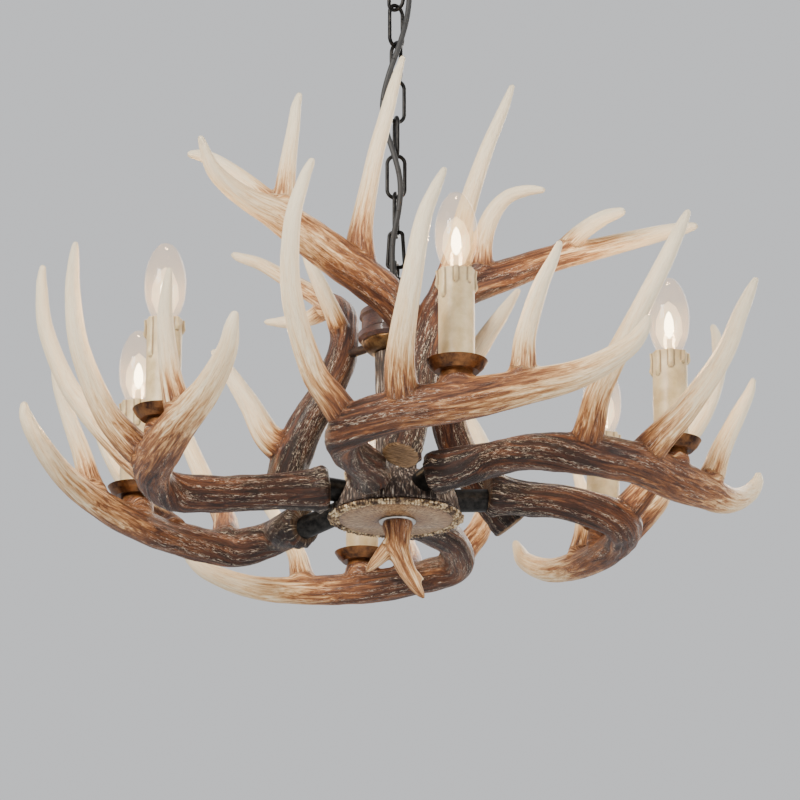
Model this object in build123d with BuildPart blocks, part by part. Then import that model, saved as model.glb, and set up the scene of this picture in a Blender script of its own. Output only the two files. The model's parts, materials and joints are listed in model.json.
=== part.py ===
"""Six-light antler chandelier on a chain, hung from a ceiling canopy.

Frame: the origin is the centre of the ceiling face, +Z is up, so everything
hangs below zero. -Y is the front and +X is the right. Millimetres throughout.
"""
import os
from math import cos, pi, radians, sin, tan

from build123d import *

os.makedirs("parts", exist_ok=True)

# ---- ceiling canopy -------------------------------------------------------
CANOPY_DIAMETER = 112.0
CANOPY_HEIGHT = 26.0
CANOPY_WALL = 1.2
CANOPY_FLAT_DIAMETER = 44.0
CANOPY_RIM = 3.0
BRACKET_LENGTH = 92.0
BRACKET_WIDTH = 20.0
BRACKET_THICKNESS = 2.0
BRACKET_HOLE_SPACING = 70.0
BRACKET_SLOT_LENGTH = 9.0
BRACKET_SLOT_WIDTH = 4.6
THREAD_DIAMETER = 9.5
NUT_DIAMETER = 18.0
NUT_HEIGHT = 6.0
LOOP_COLLAR_DIAMETER = 15.0
LOOP_COLLAR_HEIGHT = 4.0
TERMINAL_LENGTH = 22.0
TERMINAL_WIDTH = 14.0
TERMINAL_HEIGHT = 10.0
FIT_CLEARANCE = 0.3

# ---- chain ----------------------------------------------------------------
LINK_WIRE = 3.5
LINK_WIDTH = 19.0
LINK_PITCH = 36.0
LINK_COUNT = 7
LINK_TWIST = 10.8
QUICK_LINK_PITCH = 29.0
QUICK_LINK_TOP_WIDTH = 15.0
QUICK_LINK_BOTTOM_WIDTH = 19.0
QUICK_LINK_CORNER = 3.6
RING_WIRE = 4.0
RING_RADIUS = 7.0

# ---- centre column, heights from the arm datum ------------------------------
EYE_HEIGHT = 126.0
COLLAR_TOP = 85.0
COLLAR_HEIGHT = 33.0
COLLAR_DIAMETER = 66.0
DOME_HEIGHT = 10.0
DOME_DIAMETER = 58.0
DOME_BASE_DIAMETER = 40.0
STEM_DIAMETER = 13.0
STEM_WALL = 1.5
SLEEVE_DIAMETER = 36.0
SLEEVE_RIBS = 16
SLEEVE_RIB_DEPTH = 1.3
HUB_TOP = -73.0
HUB_BOTTOM = -104.0
HUB_DIAMETER = 104.0
HUB_TOP_DIAMETER = 88.0
CAP_THICKNESS = 5.0
CAP_DIAMETER = 98.0
PEARL_RING_DIAMETER = 116.0
PEARL_DIAMETER = 9.0
PEARL_COUNT = 36
GROMMET_DIAMETER = 10.0
GROMMET_HEIGHT = 3.0

# ---- arms -----------------------------------------------------------------
TUBE_DIAMETER = 20.0
TUBE_WALL = 1.6
TUBE_HEIGHT = -88.0
TUBE_IN_HUB = 12.0
TUBE_IN_ANTLER = 9.0
ROOT_RADIUS = 16.5
BURR_LENGTH = 9.0
BURR_SWELL = 2.0
STAY_DIAMETER = 8.0
STAY_DEPTH = 9.0

# ---- candles --------------------------------------------------------------
SEAT_FLAT = 14.5
BOSS_DIAMETER = 29.0
BOSS_HEIGHT = 9.5
CUP_DIAMETER = 50.5
CUP_FLOOR_DIAMETER = 36.0
CUP_DEPTH = 9.0
CUP_WALL = 1.2
NIPPLE_DEPTH = 14.0
HOLDER_DIAMETER = 23.0
HOLDER_HEIGHT = 46.0
HOLDER_STALK_DIAMETER = 10.0
HOLDER_FOOT_DIAMETER = 18.0
HOLDER_BORE = 15.2
CANDLE_DIAMETER = 29.5
CANDLE_WALL = 2.4
CANDLE_HEIGHT = 85.0
DRIP_COUNT = 6
DRIP_RADIUS = 2.3
DRIP_STEP = 5.0
BULB_DIAMETER = 35.0
BULB_SHOWN = 69.0
BULB_NECK_DIAMETER = 18.0
BULB_SUNK = 3.0
BULB_CAP_DIAMETER = 14.0
BULB_CAP_LENGTH = 26.0
GLASS_WALL = 1.2
BULB_STEM_DIAMETER = 6.0
BULB_STEM_HEIGHT = 17.0

# ---- power cord: points beside the chain, heights from the ceiling ----------
CORD_DIAMETER = 5.0
CANOPY_CORD_EXIT = (12.5, -4.5)
COLLAR_CORD_ENTRY = (-3.0, -14.0)
CORD_WAY = [
    (12.5, -4.5, -58),
    (10.5, -7, -88),
    (3, -14.5, -119),
    (-7, -12.5, -146),
    (-13, -5.5, -171),
    (-9.5, -10, -197),
    (-2, -15, -221),
    (4.5, -14, -247),
    (3, -13.5, -274),
    (-3.5, -13, -303),
    (-3, -14, -332),
]

# ---- antler shapes: (x, y, z, radius) stations, z from the arm datum --------
# One casting serves all six arms. In its own frame +X points outwards under
# the candle and +Y follows the circle of candles, counter-clockwise from above.
SEAT = (246.0, 0.0, -91.0, 18.0)
ARM_BEAM = [
    (96, -46, -89, 16),
    (140, -70, -92, 15.5),
    (186, -79, -93, 17.5),
    (224, -48, -92, 18),
    SEAT,
    (262, 50, -86, 17),
    (271, 98, -77, 13),
    (278, 136, -58, 9),
    (283, 151, -42, 5.5),
    (283, 156, -32, 2.2),
]
ARM_TINES = [
    [(190, -76, -90, 14), (213, -110, -50, 12), (246, -129, 0, 10), (271, -130, 50, 7.5),
     (282, -120, 85, 4.5), (286, -112, 102, 2)],
    [(228, -40, -88, 14.5), (272, -47, -45, 12), (299, -40, 0, 9.5), (311, -31, 40, 7),
     (317, -20, 65, 4.5), (320, -12, 80, 2)],
    [(262, 50, -84, 13), (275, 54, -46, 10), (287, 66, -10, 7.5), (293, 78, 13, 4.5),
     (295, 85, 28, 2)],
]
ARM_PIVOT = (55.0, -15.0, -85.0)
# name: angle round the ring from the right, then yaw, pitch and roll as set by
# hand, then the place of the cut root beside the hub, then stations left out
ARMS = {
    "front": (-80.3, 2.3, 3.4, 3.9, (-26, -82, -87), 0),
    "front_right": (-20.3, 2.2, -0.9, -4.2, (32, -62, -85), 0),
    "rear_right": (39.7, 1.2, -0.2, -2.6, (79, 23, -84), 0),
    "rear": (99.7, -2.9, -2.7, -5.0, (17, 72, -87), 0),
    "rear_left": (159.7, -1.4, 1.5, 3.8, (-76, 50, -99), 1),
    "front_left": (219.7, -1.4, -0.4, 3.7, (-54, -20, -87), 0),
}

UPPER_ANTLERS = {
    "left": [
        [(98, 66, -94, 15.5), (77, 60, -67, 16), (53, 42, -30, 16), (39, 3, 12, 16),
         (24, -34, 38, 16.5), (3, -54, 66, 17), (-24, -78, 90, 17.5), (-52, -106, 107, 17.5),
         (-83, -140, 121, 17), (-112, -170, 128, 15), (-136, -192, 136, 11.5),
         (-152, -206, 145, 7.5), (-162, -214, 160, 2)],
        [(-26, -81, 98, 14), (-26, -88, 126, 11.5), (-23, -94, 154, 9.5), (-15, -100, 193, 8),
         (-5, -106, 237, 6), (2, -108, 262, 4), (6, -108, 277, 1.8)],
        [(-91, -148, 123, 13), (-94, -146, 146, 9.5), (-90, -142, 176, 7.5),
         (-86, -138, 204, 5.5), (-83, -134, 230, 2)],
        [(-94, -150, 125, 12), (-117, -138, 147, 9.5), (-139, -136, 162, 8),
         (-157, -140, 171, 5.5), (-176, -146, 172, 2.2)],
        [(46, 24, -6, 12), (59, 2, 25, 10.5), (76, -25, 46, 8.5), (91, -50, 61, 6.5),
         (105, -72, 76, 2)],
    ],
    "right": [
        [(9, -95, -77, 16.5), (11, -92, -59, 16.5), (14, -87, -32, 16.5), (20, -84, 0, 16.5),
         (30, -79, 36, 17), (43, -68, 67, 17), (64, -58, 84, 16), (98, -48, 99, 14),
         (135, -38, 116, 12.5), (178, -28, 130, 10), (225, -20, 145, 7), (263, -16, 155, 2.2)],
        [(41, -69, 68, 15), (52, -68, 109, 11.5), (62, -64, 156, 9), (78, -58, 208, 7),
         (93, -52, 248, 5), (102, -48, 275, 1.8)],
        [(72, -58, 88, 13), (75, -62, 125, 9.5), (83, -68, 146, 8), (96, -76, 159, 6.5),
         (113, -84, 162, 5), (128, -90, 160, 2)],
        [(142, -36, 121, 11), (159, -44, 137, 9), (178, -52, 148, 7), (190, -57, 151, 5),
         (197, -60, 152, 3)],
    ],
    "rear": [
        [(-100, 39, -77, 16), (-97, 46, -57, 17), (-89, 53, -30, 18), (-77, 52, -3, 17),
         (-63, 48, 20, 16), (-50, 48, 48, 15.5), (-45, 57, 78, 14.5), (-48, 88, 110, 13),
         (-67, 130, 138, 10), (-96, 158, 165, 8), (-124, 178, 189, 6), (-152, 196, 206, 2.2)],
        [(-88, 54, -33, 17), (-111, 50, -19, 14), (-128, 46, 10, 10), (-145, 42, 36, 7),
         (-161, 40, 59, 2.2)],
        [(-46, 54, 73, 13), (-54, 44, 91, 9.5), (-65, 36, 114, 8), (-75, 32, 135, 6),
         (-83, 30, 154, 2.2)],
        [(-58, 112, 126, 10.5), (-78, 140, 124, 7.5), (-99, 160, 127, 6),
         (-120, 178, 133, 2.2)],
    ],
}
# where each upper antler is held: a point on its beam
STAY_POINTS = {"left": (3, -54, 66), "right": (50, -64.7, 72.6), "rear": (-48, 49, 56)}

# below the hub cap, z from the cap's underside
FINIAL = [
    [(0, 0, 0, 9.5), (0, 0, -14, 9.3), (1, 0, -25, 9), (7, -2, -41, 7.8), (15, -4, -56, 5.2),
     (21, -5, -65, 3), (24, -6, -70, 1.5)],
    [(0, 0, -23, 7), (-8, -3, -36, 6), (-16, -6, -43, 4), (-24, -9, -48, 1.2)],
    [(12, -3, -47, 5), (19, -6, -52, 3), (23, -8, -54, 1)],
]

# ---- heights that follow ---------------------------------------------------
ring_step = (LINK_WIRE + RING_WIRE) / 2 + FIT_CLEARANCE
wire_step = LINK_WIRE + FIT_CLEARANCE
loop_ring_z = -CANOPY_HEIGHT - LOOP_COLLAR_HEIGHT + RING_WIRE / 2 - RING_RADIUS
hinge_z = [loop_ring_z - RING_RADIUS]
for index in range(LINK_COUNT):
    hinge_z.append(hinge_z[-1] - LINK_PITCH)
hinge_z.append(hinge_z[-1] - QUICK_LINK_PITCH)
DATUM = hinge_z[-1] + ring_step - EYE_HEIGHT


# ---- helpers --------------------------------------------------------------
def save(part, name):
    """Label a finished piece and write its file."""
    part.label = name
    export_step(part, f"parts/{name}.step")


def link_yaw(index):
    """Turn of a link about the vertical; the chain twists a little on its way."""
    return 90.0 * (index % 2) + LINK_TWIST * (LINK_COUNT - 1 - index)


def upright_plane(yaw, z=0.0):
    """Plane through the chain's axis: local X is level, local Y is up."""
    level = (cos(radians(yaw)), sin(radians(yaw)), 0)
    normal = (sin(radians(yaw)), -cos(radians(yaw)), 0)
    return Plane(origin=(0, 0, z), x_dir=level, z_dir=normal)


def section_planes(points):
    """Planes square to a line of points, with a steady X axis."""
    planes = []
    x_axis = Vector(0.31, 0.17, 0.94)
    for index, point in enumerate(points):
        before = points[max(index - 1, 0)]
        after = points[min(index + 1, len(points) - 1)]
        direction = (after - before).normalized()
        x_axis = (x_axis - direction * x_axis.dot(direction)).normalized()
        planes.append(Plane(origin=point, x_dir=x_axis, z_dir=direction))
    return planes


def branch_sections(stations):
    """Round sections along a beam or a tine."""
    points = [Vector(x, y, z) for x, y, z, _ in stations]
    sections = []
    for plane, station in zip(section_planes(points), stations):
        with BuildSketch(plane) as section:
            Circle(station[3])
        sections.append(section.sketch)
    return sections


def at_level(stations, level=DATUM):
    """Move stations from the arm datum to their height under the ceiling."""
    return [(x, y, z + level, radius) for x, y, z, radius in stations]


def arm_frame(arm):
    """Location that carries the arm casting to its place in the ring."""
    angle, yaw, pitch, roll, _, _ = ARMS[arm]
    tilt = Rotation(0, 0, yaw) * Rotation(0, -pitch, 0) * Rotation(roll, 0, 0)
    from_pivot = Pos(-ARM_PIVOT[0], -ARM_PIVOT[1], -ARM_PIVOT[2])
    return Pos(0, 0, DATUM) * Rotation(0, 0, angle) * Pos(*ARM_PIVOT) * tilt * from_pivot


def placed(frame, station):
    """One station of the casting, carried by a frame."""
    point = (frame * Pos(*station[:3])).position
    return (point.X, point.Y, point.Z, station[3])


def root_stations(arm, onward):
    """Cut face and burr of an arm, before the stations that follow."""
    root = Vector(ARMS[arm][4][0], ARMS[arm][4][1], ARMS[arm][4][2] + DATUM)
    burr = root + (Vector(*onward[:3]) - root).normalized() * BURR_LENGTH
    cut_face = (root.X, root.Y, root.Z, ROOT_RADIUS)
    return [cut_face, (burr.X, burr.Y, burr.Z, ROOT_RADIUS + BURR_SWELL)]


def tube_ends(arm):
    """Inner and outer end of an arm's steel tube."""
    root = Vector(ARMS[arm][4][0], ARMS[arm][4][1], ARMS[arm][4][2] + DATUM)
    outwards = Vector(root.X, root.Y, 0).normalized()
    inner = outwards * (HUB_DIAMETER / 2 - TUBE_IN_HUB) + Vector(0, 0, DATUM + TUBE_HEIGHT)
    outer = root + (root - inner).normalized() * TUBE_IN_ANTLER
    return inner, outer


def stay_ends(upper):
    """Ends of the rod that ties an upper antler to the turned collar."""
    point = Vector(*STAY_POINTS[upper])
    outwards = Vector(point.X, point.Y, 0).normalized()
    inner = outwards * (COLLAR_DIAMETER / 2 - STAY_DEPTH) + Vector(0, 0, DATUM + point.Z)
    outer = point + Vector(0, 0, DATUM)
    return inner, outer


def rod_plane(start, end):
    """Plane at a rod's start, looking along the rod."""
    return Plane(origin=start, z_dir=(end - start).normalized())


# ---- ceiling canopy and its bracket ----------------------------------------
with BuildPart() as canopy_cover:
    with BuildSketch(Plane.XZ) as canopy_outside:
        with BuildLine():
            Polyline(
                (CANOPY_DIAMETER / 2, -CANOPY_RIM),
                (CANOPY_DIAMETER / 2, 0),
                (0, 0),
                (0, -CANOPY_HEIGHT),
                (CANOPY_FLAT_DIAMETER / 2, -CANOPY_HEIGHT),
            )
            TangentArc(
                (CANOPY_FLAT_DIAMETER / 2, -CANOPY_HEIGHT),
                (CANOPY_DIAMETER / 2, -CANOPY_RIM),
                tangent=(1, 0),
            )
        make_face()
    revolve(axis=Axis.Z)
    inside_rim = canopy_cover.faces().sort_by(Axis.Z)[-1]
    offset(amount=-CANOPY_WALL, openings=inside_rim)
    with BuildSketch(Plane.XY.offset(-CANOPY_HEIGHT)):
        Circle(THREAD_DIAMETER / 2 + FIT_CLEARANCE)
        with Locations(CANOPY_CORD_EXIT):
            Circle(CORD_DIAMETER / 2 + FIT_CLEARANCE)
    extrude(amount=CANOPY_HEIGHT / 2, mode=Mode.SUBTRACT)
save(canopy_cover.part, "canopy_cover")

with BuildPart() as ceiling_bracket:
    with BuildSketch(Plane.XY.offset(-BRACKET_THICKNESS)):
        Rectangle(BRACKET_LENGTH, BRACKET_WIDTH)
        with Locations((-BRACKET_HOLE_SPACING / 2, 0), (BRACKET_HOLE_SPACING / 2, 0)):
            SlotOverall(BRACKET_SLOT_LENGTH, BRACKET_SLOT_WIDTH, mode=Mode.SUBTRACT)
        Circle(THREAD_DIAMETER / 2 + FIT_CLEARANCE, mode=Mode.SUBTRACT)
    extrude(amount=BRACKET_THICKNESS)
    corners = ceiling_bracket.edges().filter_by(Axis.Z).sort_by(Axis.X)
    fillet(corners[:2] + corners[-2:], radius=4)
save(ceiling_bracket.part, "ceiling_bracket")

terminal_x = NUT_DIAMETER / 2 + 3 + TERMINAL_LENGTH / 2
with BuildPart() as terminal_block:
    with BuildSketch(Plane.XY.offset(-BRACKET_THICKNESS)):
        with Locations((terminal_x, 0)):
            RectangleRounded(TERMINAL_LENGTH, TERMINAL_WIDTH, 2)
    extrude(amount=-TERMINAL_HEIGHT)
    with BuildSketch(Plane.XY.offset(-BRACKET_THICKNESS - TERMINAL_HEIGHT)):
        with Locations((terminal_x - 7, -3.5), (terminal_x, -3.5), (terminal_x + 7, -3.5)):
            Circle(1.6)
        with Locations((terminal_x - 7, 3.5), (terminal_x, 3.5), (terminal_x + 7, 3.5)):
            Circle(1.6)
    extrude(amount=4, mode=Mode.SUBTRACT)
save(terminal_block.part, "terminal_block")

with BuildPart() as canopy_loop:
    with BuildSketch(Plane.XY.offset(-CANOPY_HEIGHT)):
        Circle(LOOP_COLLAR_DIAMETER / 2)
    extrude(amount=-LOOP_COLLAR_HEIGHT)
    with BuildSketch(Plane.XY.offset(-CANOPY_HEIGHT)):
        Circle(THREAD_DIAMETER / 2)
    extrude(amount=CANOPY_HEIGHT - 0.5)
    with Locations(upright_plane(link_yaw(1) - 90, loop_ring_z).location):
        Torus(RING_RADIUS, RING_WIRE / 2)
save(canopy_loop.part, "canopy_loop")

with BuildPart() as canopy_nut:
    with BuildSketch(Plane.XY.offset(-CANOPY_HEIGHT + CANOPY_WALL)):
        RegularPolygon(NUT_DIAMETER / 2, 6)
        Circle(THREAD_DIAMETER / 2 + FIT_CLEARANCE, mode=Mode.SUBTRACT)
    extrude(amount=NUT_HEIGHT)
save(canopy_nut.part, "canopy_nut")

with BuildPart() as canopy_grommet:
    with BuildSketch(Plane.XY.offset(-CANOPY_HEIGHT)):
        with Locations(CANOPY_CORD_EXIT):
            Circle(GROMMET_DIAMETER / 2)
    extrude(amount=-GROMMET_HEIGHT, taper=12)
save(canopy_grommet.part, "canopy_grommet")

# ---- chain ----------------------------------------------------------------
link_half = (LINK_WIDTH - LINK_WIRE) / 2
for index in range(1, LINK_COUNT + 1):
    top_z = hinge_z[index - 1] + (ring_step if index == 1 else wire_step)
    bottom_z = hinge_z[index]
    with BuildPart() as chain_link:
        with BuildLine(upright_plane(link_yaw(index))) as link_wire:
            Line((-link_half, bottom_z + link_half), (-link_half, top_z - link_half))
            ThreePointArc(
                (-link_half, top_z - link_half), (0, top_z), (link_half, top_z - link_half)
            )
            Line((link_half, top_z - link_half), (link_half, bottom_z + link_half))
            ThreePointArc(
                (link_half, bottom_z + link_half), (0, bottom_z),
                (-link_half, bottom_z + link_half),
            )
        link_path = link_wire.wires()[0]
        with BuildSketch(Plane(origin=link_path @ 0, z_dir=link_path % 0)):
            Circle(LINK_WIRE / 2)
        sweep(path=link_path)
    save(chain_link.part, f"chain_link_{index}")

quick_top = hinge_z[LINK_COUNT] + wire_step
quick_bottom = hinge_z[LINK_COUNT + 1]
quick_top_half = (QUICK_LINK_TOP_WIDTH - LINK_WIRE) / 2
quick_bottom_half = (QUICK_LINK_BOTTOM_WIDTH - LINK_WIRE) / 2
with BuildPart() as quick_link:
    with BuildLine(upright_plane(link_yaw(LINK_COUNT) - 90)) as quick_wire:
        FilletPolyline(
            (-quick_bottom_half, quick_bottom),
            (-quick_top_half, quick_top),
            (quick_top_half, quick_top),
            (quick_bottom_half, quick_bottom),
            close=True,
            radius=QUICK_LINK_CORNER,
        )
    quick_path = quick_wire.wires()[0]
    with BuildSketch(Plane(origin=quick_path @ 0, z_dir=quick_path % 0)):
        Circle(LINK_WIRE / 2)
    sweep(path=quick_path)
save(quick_link.part, "quick_link")

# ---- centre column ----------------------------------------------------------
eye_z = DATUM + EYE_HEIGHT - RING_RADIUS
with BuildPart() as top_loop:
    with BuildSketch(Plane.XY.offset(DATUM + COLLAR_TOP)):
        Circle(9)
    extrude(amount=5, taper=20)
    with BuildSketch(Plane.XY.offset(DATUM + COLLAR_TOP)):
        Circle(4.5)
    extrude(amount=eye_z - RING_RADIUS - DATUM - COLLAR_TOP)
    with BuildSketch(Plane.XY.offset(DATUM + COLLAR_TOP)):
        Circle(STEM_DIAMETER / 2 - STEM_WALL - FIT_CLEARANCE)
    extrude(amount=-20)
    with Locations(upright_plane(link_yaw(LINK_COUNT), eye_z).location):
        Torus(RING_RADIUS, RING_WIRE / 2)
save(top_loop.part, "top_loop")

collar_radius = COLLAR_DIAMETER / 2
collar_top_z = DATUM + COLLAR_TOP
dome_top_z = collar_top_z - COLLAR_HEIGHT
stem_bore = STEM_DIAMETER / 2 + FIT_CLEARANCE
with BuildPart() as top_collar:
    with BuildSketch(Plane.XZ):
        with BuildLine():
            Polyline(
                (stem_bore, dome_top_z),
                (collar_radius - 3, dome_top_z),
                (collar_radius, dome_top_z + 3),
                (collar_radius, dome_top_z + 8),
                (collar_radius - 3, dome_top_z + 10),
                (collar_radius - 3, collar_top_z - 12),
                (collar_radius - 1, collar_top_z - 10),
                (collar_radius - 2, collar_top_z - 5),
                (collar_radius - 9, collar_top_z - 1),
                (collar_radius - 13, collar_top_z),
                (stem_bore, collar_top_z),
                close=True,
            )
        make_face()
    revolve(axis=Axis.Z)
    for upper in STAY_POINTS:
        stay_start, stay_end = stay_ends(upper)
        with BuildSketch(rod_plane(stay_start, stay_end)):
            Circle(STAY_DIAMETER / 2 + FIT_CLEARANCE)
        extrude(amount=STAY_DEPTH * 2, mode=Mode.SUBTRACT)
save(top_collar.part, "top_collar")

with BuildPart() as cord_grommet:
    with BuildSketch(Plane.XY.offset(collar_top_z)):
        with Locations(COLLAR_CORD_ENTRY):
            Circle(GROMMET_DIAMETER / 2)
    extrude(amount=GROMMET_HEIGHT, taper=12)
save(cord_grommet.part, "cord_grommet")

with BuildPart() as collar_dome:
    with BuildSketch(Plane.XZ):
        with BuildLine():
            Polyline(
                (DOME_BASE_DIAMETER / 2, dome_top_z - DOME_HEIGHT),
                (stem_bore, dome_top_z - DOME_HEIGHT),
                (stem_bore, dome_top_z),
                (DOME_DIAMETER / 2, dome_top_z),
                (DOME_DIAMETER / 2, dome_top_z - 1.5),
            )
            ThreePointArc(
                (DOME_DIAMETER / 2, dome_top_z - 1.5),
                (DOME_DIAMETER / 2 - 2.6, dome_top_z - DOME_HEIGHT * 0.6),
                (DOME_BASE_DIAMETER / 2, dome_top_z - DOME_HEIGHT),
            )
        make_face()
    revolve(axis=Axis.Z)
save(collar_dome.part, "collar_dome")

with BuildPart() as stem_tube:
    with BuildSketch(Plane.XY.offset(DATUM + HUB_BOTTOM)):
        Circle(STEM_DIAMETER / 2)
        Circle(STEM_DIAMETER / 2 - STEM_WALL, mode=Mode.SUBTRACT)
    extrude(amount=COLLAR_TOP - HUB_BOTTOM - FIT_CLEARANCE)
save(stem_tube.part, "stem_tube")

with BuildPart() as stem_sleeve:
    with BuildSketch(Plane.XY.offset(DATUM + HUB_TOP)):
        Circle(SLEEVE_DIAMETER / 2)
        with PolarLocations(SLEEVE_DIAMETER / 2 + 1, SLEEVE_RIBS):
            Circle(1 + SLEEVE_RIB_DEPTH, mode=Mode.SUBTRACT)
        Circle(stem_bore, mode=Mode.SUBTRACT)
    extrude(amount=COLLAR_TOP - COLLAR_HEIGHT - DOME_HEIGHT - HUB_TOP)
save(stem_sleeve.part, "stem_sleeve")

with BuildPart() as hub_body:
    with BuildSketch(Plane.XZ):
        with BuildLine():
            Polyline(
                (stem_bore, DATUM + HUB_BOTTOM),
                (HUB_DIAMETER / 2 - 1, DATUM + HUB_BOTTOM),
                (HUB_DIAMETER / 2, DATUM + HUB_BOTTOM + 3),
                (HUB_DIAMETER / 2 - 1, DATUM + HUB_TOP - 8),
                (HUB_TOP_DIAMETER / 2, DATUM + HUB_TOP - 1),
                (HUB_TOP_DIAMETER / 2 - 4, DATUM + HUB_TOP),
                (stem_bore, DATUM + HUB_TOP),
                close=True,
            )
        make_face()
    revolve(axis=Axis.Z)
    for arm in ARMS:
        tube_start, tube_end = tube_ends(arm)
        with BuildSketch(rod_plane(tube_start, tube_end)):
            Circle(TUBE_DIAMETER / 2 + FIT_CLEARANCE)
        extrude(amount=TUBE_IN_HUB * 2, mode=Mode.SUBTRACT)
save(hub_body.part, "hub_body")

with BuildPart() as hub_cap:
    with BuildSketch(Plane.XY.offset(DATUM + HUB_BOTTOM - CAP_THICKNESS)):
        Circle(CAP_DIAMETER / 2)
    extrude(amount=CAP_THICKNESS)
    with BuildSketch(Plane.XY.offset(DATUM + HUB_BOTTOM - CAP_THICKNESS + 1)):
        Circle(PEARL_RING_DIAMETER / 2 - PEARL_DIAMETER / 3)
        with PolarLocations(PEARL_RING_DIAMETER / 2 - PEARL_DIAMETER / 2, PEARL_COUNT):
            Circle(PEARL_DIAMETER / 2)
    extrude(amount=CAP_THICKNESS - 1.3)
save(hub_cap.part, "hub_cap")

finial_top = DATUM + HUB_BOTTOM - CAP_THICKNESS
with BuildPart() as finial:
    for branch in FINIAL:
        loft(branch_sections(at_level(branch, finial_top)))
save(finial.part, "finial")

# ---- arm tubes --------------------------------------------------------------
with BuildPart() as arm_tubes:
    for arm in ARMS:
        tube_start, tube_end = tube_ends(arm)
        with BuildSketch(rod_plane(tube_start, tube_end)):
            Circle(TUBE_DIAMETER / 2)
            Circle(TUBE_DIAMETER / 2 - TUBE_WALL, mode=Mode.SUBTRACT)
        extrude(amount=(tube_end - tube_start).length)
save(arm_tubes.part, "arm_tubes")

# ---- arm antlers --------------------------------------------------------------
seats = {}
for arm in ARMS:
    frame = arm_frame(arm)
    seat = placed(frame, SEAT)
    seats[arm] = seat
    beam = [placed(frame, station) for station in ARM_BEAM[ARMS[arm][5]:]]
    beam = root_stations(arm, beam[0]) + beam
    tube_start, tube_end = tube_ends(arm)
    with BuildPart() as arm_antler:
        loft(branch_sections(beam))
        for tine in ARM_TINES:
            loft(branch_sections([placed(frame, station) for station in tine]))
        with BuildSketch(Plane.XY.offset(seat[2] + SEAT_FLAT)):
            with Locations(seat[:2]):
                Circle(BOSS_DIAMETER / 2 + 1)
        extrude(amount=BOSS_HEIGHT, mode=Mode.SUBTRACT)
        with BuildSketch(Plane.XY.offset(seat[2] + SEAT_FLAT)):
            with Locations(seat[:2]):
                Circle(THREAD_DIAMETER / 2 + FIT_CLEARANCE)
        extrude(amount=-NIPPLE_DEPTH - 1, mode=Mode.SUBTRACT)
        with BuildSketch(rod_plane(tube_end, tube_start)):
            Circle(TUBE_DIAMETER / 2 + FIT_CLEARANCE)
        extrude(amount=TUBE_IN_ANTLER * 3, mode=Mode.SUBTRACT)
        with BuildSketch(Plane.XY.offset(DATUM + HUB_BOTTOM - CAP_THICKNESS - 5)):
            Circle(PEARL_RING_DIAMETER / 2 + FIT_CLEARANCE)
        extrude(amount=CAP_THICKNESS + 5, mode=Mode.SUBTRACT)
        with BuildSketch(Plane.XY.offset(DATUM + HUB_BOTTOM)):
            Circle(HUB_DIAMETER / 2 + FIT_CLEARANCE)
        extrude(amount=60, mode=Mode.SUBTRACT)
    save(arm_antler.part, f"arm_antler_{arm}")

# ---- upper antlers -------------------------------------------------------------
for upper, branches in UPPER_ANTLERS.items():
    stay_start, stay_end = stay_ends(upper)
    with BuildPart() as upper_antler:
        for branch in branches:
            loft(branch_sections(at_level(branch)))
        with BuildSketch(rod_plane(stay_end, stay_start)):
            Circle(STAY_DIAMETER / 2 + FIT_CLEARANCE)
        extrude(amount=40, mode=Mode.SUBTRACT)
        with BuildSketch(Plane.XY.offset(dome_top_z - FIT_CLEARANCE)):
            Circle(COLLAR_DIAMETER / 2 + FIT_CLEARANCE)
        extrude(amount=COLLAR_HEIGHT + 1, mode=Mode.SUBTRACT)
        with BuildSketch(Plane.XY.offset(dome_top_z - DOME_HEIGHT)):
            Circle(DOME_DIAMETER / 2 + FIT_CLEARANCE)
        extrude(amount=DOME_HEIGHT, mode=Mode.SUBTRACT)
    save(upper_antler.part, f"upper_antler_{upper}")

with BuildPart() as stay_rods:
    for upper in STAY_POINTS:
        stay_start, stay_end = stay_ends(upper)
        with BuildSketch(rod_plane(stay_start, stay_end)):
            Circle(STAY_DIAMETER / 2)
        extrude(amount=(stay_end - stay_start).length - FIT_CLEARANCE)
save(stay_rods.part, "stay_rods")

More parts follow.
